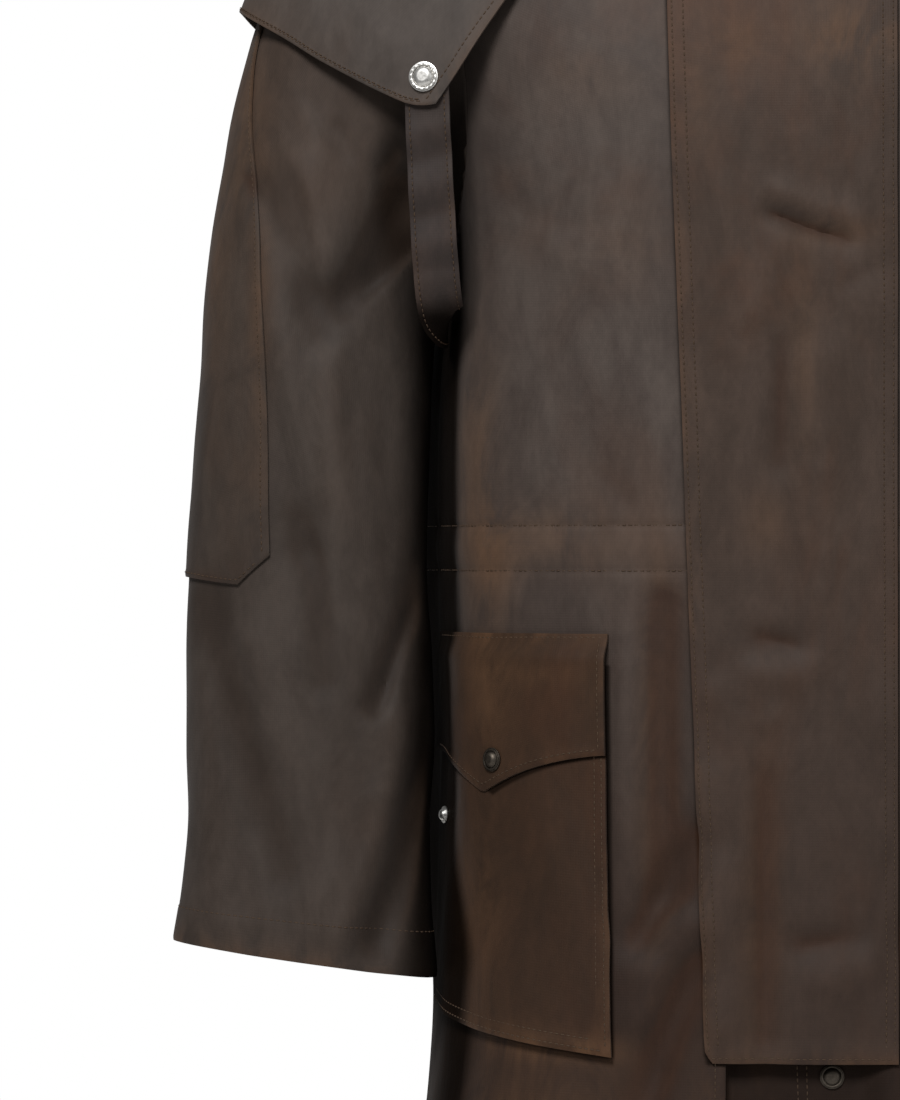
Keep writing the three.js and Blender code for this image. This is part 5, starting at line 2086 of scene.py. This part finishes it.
    def _flap(self) -> Panel:
        """Make the pointed flap, which steps out over the pocket's mouth."""
        side = self.side.name.lower()
        far, front = self._edges(1.0, -0.6)
        top = float(level_at_z(POCKET_FLAP_TOP_Z))

        def bottom(share: np.ndarray) -> np.ndarray:
            return level_at_z(self.flap_edge(share))

        def out(u: np.ndarray, v: np.ndarray) -> np.ndarray:
            over = pocket_out(u) + self.stand
            z = BODY.at(v)["front_z"]
            return lerp(FOOT + CLOTH, over, smooth(-z, 510, 527))

        panel = Panel(BODY_FACE, far, front, constant(top), bottom, out)
        shell = Shell(f"cloth_pocket_flap_{side}", panel, Edges(0, 7, 3, 7), 3.5)
        Sewing(shell, POCKET_LOOK, "pocket", f"pocket_flap_{side}", [f"front_{side}"]).build()
        return panel

    def _tack(self, panel: Panel) -> list[Seam]:
        """Give the close stitches that hold the pocket's mouth at its front edge."""
        rows = []
        for k in range(6):
            down = np.linspace(6, 22, 12) / panel.length
            share = 1 - (1.5 + k * 0.7) / panel.width
            rows.append(Seam(panel, np.full_like(down, share), down, 0.5))
        return rows


@dataclass
class SnapCap:
    """The pressed cap of a snap: a rolled rim, a groove and a low dome.

    Attributes:
        name: The piece's name.
        node: The solid that it stands for.
        radius: Half its width, in millimetres.
        height: How far it stands up.
        look: Its metal.
        notches: Whether its rim is milled with small notches.
    """

    name: str
    node: str
    radius: float
    height: float
    look: SnapMetal
    notches: bool = False

    def build(self, place: np.ndarray, facing: np.ndarray) -> bpy.types.Object:
        """Model the cap and set it on the cloth.

        Args:
            place: The point under its middle, in millimetres.
            facing: The direction that it faces.

        Returns:
            The finished cap.
        """
        bpy.ops.object.select_all(action="DESELECT")
        r, h = self.radius * MM, self.height * MM
        bpy.ops.mesh.primitive_cylinder_add(
            vertices=32, radius=r, depth=0.3 * h, location=(0, 0, 0.15 * h),
        )
        piece = bpy.context.active_object
        piece.name = piece.data.name = self.name
        bpy.ops.object.transform_apply(location=True, rotation=True, scale=True)
        bpy.ops.object.mode_set(mode="EDIT")
        bpy.context.tool_settings.mesh_select_mode = (False, False, True)
        self._select_top()
        bpy.ops.mesh.inset(thickness=0.1 * r)
        bpy.ops.mesh.extrude_region_move(TRANSFORM_OT_translate={"value": (0, 0, 0.16 * h)})
        bpy.ops.mesh.inset(thickness=0.1 * r)
        bpy.ops.mesh.inset(thickness=0.05 * r)
        bpy.ops.mesh.extrude_region_move(TRANSFORM_OT_translate={"value": (0, 0, -0.16 * h)})
        bpy.ops.mesh.inset(thickness=0.04 * r)
        for rise, inset in ((0.34, 0.1), (0.18, 0.16), (0.1, 0.18), (0.05, 0.14)):
            bpy.ops.mesh.extrude_region_move(TRANSFORM_OT_translate={"value": (0, 0, rise * h)})
            bpy.ops.transform.resize(value=(1 - inset, 1 - inset, 1), center_override=(0, 0, 0))
        bpy.ops.mesh.inset(thickness=0.08 * r)
        bpy.ops.mesh.select_all(action="SELECT")
        bpy.ops.mesh.normals_make_consistent(inside=False)
        bpy.ops.object.mode_set(mode="OBJECT")
        if self.notches:
            self._mill(r, h)
        rounded = piece.modifiers.new("rounded", "BEVEL")
        rounded.width, rounded.segments, rounded.angle_limit = 0.035 * r, 2, math.radians(40)
        bpy.ops.object.modifier_apply(modifier=rounded.name)
        bpy.ops.object.shade_smooth_by_angle(angle=math.radians(50))
        self._set_down(piece, place, facing)
        self.look.put_on(piece)
        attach(piece, "root")
        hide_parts(self.node)
        LOG.info("%s: %d faces", piece.name, len(piece.data.polygons))
        return piece

    @staticmethod
    def _select_top() -> None:
        """Select the top face of the mesh that is being edited."""
        bpy.ops.mesh.select_all(action="DESELECT")
        bpy.ops.object.mode_set(mode="OBJECT")
        faces = bpy.context.active_object.data.polygons
        highest = max(faces, key=lambda f: (f.normal.z > 0.9, f.center.z))
        highest.select = True
        bpy.ops.object.mode_set(mode="EDIT")

    @staticmethod
    def _mill(r: float, h: float) -> None:
        """Raise every other face of the rim's top into a small tooth."""
        piece = bpy.context.active_object
        for face in piece.data.polygons:
            ring = math.hypot(face.center.x, face.center.y) / r
            turn = round((math.degrees(math.atan2(face.center.y, face.center.x)) % 360) / 11.25 - 0.5)
            face.select = 0.8 < ring < 0.9 and face.normal.z > 0.9 and turn % 2 == 0
        bpy.ops.object.mode_set(mode="EDIT")
        bpy.ops.mesh.extrude_faces_move(
            TRANSFORM_OT_shrink_fatten={"value": 0.07 * h},
        )
        bpy.ops.object.mode_set(mode="OBJECT")

    @staticmethod
    def _set_down(piece: bpy.types.Object, place: np.ndarray, facing: np.ndarray) -> None:
        """Turn the cap to its direction and put its place in its mesh."""
        turn = Vector((0, 0, 1)).rotation_difference(Vector(facing)).to_matrix().to_4x4()
        piece.matrix_world = Matrix.Translation(Vector(place * MM)) @ turn
        make_active(piece)
        bpy.ops.object.transform_apply(location=True, rotation=True, scale=True)


@dataclass
class Snaps:
    """All the snaps of the coat."""

    cape_at: tuple[float, float] = (-232.0, -160.0)
    pocket_at: tuple[float, float] = (-183.5, -590.0)
    front_at: tuple[float, float] = (24.0, -781.0)
    side_at: tuple[float, float] = (-82.0, -628.0)

    @staticmethod
    def _seen(
        surface: Surface, x: float, z: float, start: tuple[float, float], reach: tuple[float, float],
    ) -> tuple[np.ndarray, np.ndarray]:
        """Find the place of a surface that shows at a point from the front.

        Args:
            surface: The surface.
            x: The point's distance from the middle.
            z: Its height.
            start: Where the search starts.
            reach: How far it looks at first.

        Returns:
            The place's u and v.
        """
        u, v = start
        wide_u, wide_v = reach
        for _ in range(14):
            steps = np.linspace(-1, 1, 5)
            try_u, try_v = np.meshgrid(u + steps * wide_u, v + steps * wide_v)
            points = surface.points(try_u, try_v)
            best = np.argmin(np.hypot(points[..., 0] - x, points[..., 2] - z))
            u, v = float(try_u.flat[best]), float(try_v.flat[best])
            wide_u, wide_v = wide_u * 0.6, wide_v * 0.6
        return np.array([u]), np.array([v])

    def build(self) -> None:
        """Model each snap on the cloth that carries it."""
        u, v = self._seen(CapeSurface(), *self.cape_at, (0.95, 5.3), (0.06, 0.6))
        for side in Side:
            at = u if side is Side.RIGHT else 1 - u
            self._cap(f"cape_snap_{side.name.lower()}", CapeSurface(), at, v, GAP, 9.5, 4.2, True)
        u, v = self._seen(BODY_FACE, *self.pocket_at, (-60, 8.4), (15, 0.6))
        stand = pocket_out(u) + 2 * CLOTH + FOOT + GAP
        level = np.array([float(level_at_z(self.side_at[1]))])
        for side in Side:
            name, turn = side.name.lower(), side.value
            self._cap(f"pocket_snap_{name}", BODY_FACE, u * turn, v, stand, 7.5, 4.2, dark=True)
            angle = np.array([self.side_at[0] * turn])
            out = pocket_out(angle) + CLOTH + FOOT
            self._cap(f"side_snap_{name}", BODY_FACE, angle, level, out, 5.5, 4.2)
        u, v = self._seen(BODY_FACE, *self.front_at, (6, 10), (6, 0.5))
        self._cap("front_snap", BODY_FACE, u, v, underlap_inset(u, v) + GAP, 7.5, 3.2, dark=True)

    @staticmethod
    def _cap(
        node: str, surface: Surface, u: np.ndarray, v: np.ndarray, out: Numbers,
        radius: float, height: float, notches: bool = False, dark: bool = False,
    ) -> None:
        """Build one cap at a place on a surface."""
        look = DARK_METAL if dark else BRIGHT_METAL
        facing = surface.facing(u, v)[0]
        place = surface.lifted(u, v, out)[0]
        SnapCap("cap_" + node, node, radius, height, look, notches).build(place, facing)


@dataclass
class Studio:
    """The floor, the soft lights and the camera.

    Attributes:
        eye: Where the camera stands, in metres.
        aim: What it looks at.
        view_per_pixel: The angle that a pixel of the photograph spans.
        frame_height: The photograph's height in pixels.
    """

    eye: tuple[float, float, float] = (0.0, -3.3, -0.4575)
    aim: tuple[float, float, float] = (-0.214, -0.13, -0.4575)
    view_per_pixel: float = 1.956e-4
    frame_height: int = 1100
    floor_radius: float = 1.8

    def build(self) -> None:
        """Set up the floor, the lights, the world and the camera."""
        self._camera()
        self._floor()
        self._light("key", (-0.9, -3.2, 2.4), 1.4, 150)
        self._light("fill", (2.6, -2.4, 0.4), 2.4, 14)
        self._light("rim", (0.6, 2.8, 1.8), 2.0, 40)
        self._world()

    def _camera(self) -> None:
        """Set the camera at the photograph's angle."""
        data = bpy.data.cameras.new("camera")
        data.sensor_fit = "VERTICAL"
        data.sensor_height = 36.0
        span = 2 * math.tan(self.view_per_pixel * self.frame_height / 2)
        data.lens = data.sensor_height / span
        data.clip_end = 60
        camera = bpy.data.objects.new("camera", data)
        bpy.context.scene.collection.objects.link(camera)
        camera.location = self.eye
        look = Vector(self.aim) - Vector(self.eye)
        camera.rotation_euler = look.to_track_quat("-Z", "Y").to_euler()
        bpy.context.scene.camera = camera

    def _floor(self) -> None:
        """Lay a round floor just under the hem's fitting height."""
        bpy.ops.object.select_all(action="DESELECT")
        bpy.ops.mesh.primitive_circle_add(
            vertices=96, radius=self.floor_radius, fill_type="NGON", location=(0, 0, -1.28),
        )
        floor = bpy.context.active_object
        floor.name = "floor"
        PlainFloor().put_on(floor)

    def _light(self, name: str, place: tuple[float, float, float], size: float, watts: float) -> None:
        """Hang one square soft light that faces the coat's chest."""
        data = bpy.data.lights.new(name, "AREA")
        data.size = size
        data.energy = watts
        light = bpy.data.objects.new(name, data)
        bpy.context.scene.collection.objects.link(light)
        light.location = place
        look = Vector((0, 0, -0.5)) - Vector(place)
        light.rotation_euler = look.to_track_quat("-Z", "Y").to_euler()

    @staticmethod
    def _world() -> None:
        """Surround the coat with even white light."""
        world = bpy.data.worlds.new("studio")
        world.use_nodes = True
        tree = world.node_tree
        seen = add_node(tree, "LightPath").outputs["Is Camera Ray"]
        strength = add_node(tree, "MapRange", None, Value=seen, i3=0.16, i4=1.0).outputs[0]
        tree.links.new(strength, tree.nodes["Background"].inputs["Strength"])
        tree.nodes["Background"].inputs["Color"].default_value = (1, 1, 1, 1)
        bpy.context.scene.world = world
        bpy.context.scene.view_settings.view_transform = "Standard"


def body_filled() -> bpy.types.Object:
    """Fill the body out to just past its face, for trimming the sleeves."""
    level, angle = np.meshgrid(np.linspace(0, 8, 70), np.arange(0, 360, 4.0), indexing="ij")
    return filled("body_filled", BODY_FACE.lifted(angle, level, GAP))


def main() -> None:
    """Build every part of the coat in order."""
    logging.basicConfig(level=logging.INFO, format="%(message)s")
    Studio().build()
    sleeves = [Sleeve(side) for side in Side]
    armholes = [sleeve.hollow() for sleeve in sleeves]
    Body().build(armholes)
    trim = body_filled()
    for sleeve in sleeves:
        sleeve.build(trim)
    for cutter in (*armholes, trim):
        bpy.data.objects.remove(cutter)
    CapeAndCollar().build()
    StormFlap().build()
    for side in Side:
        Pocket(side).build()
    Snaps().build()


if __name__ == "__main__":
    main()
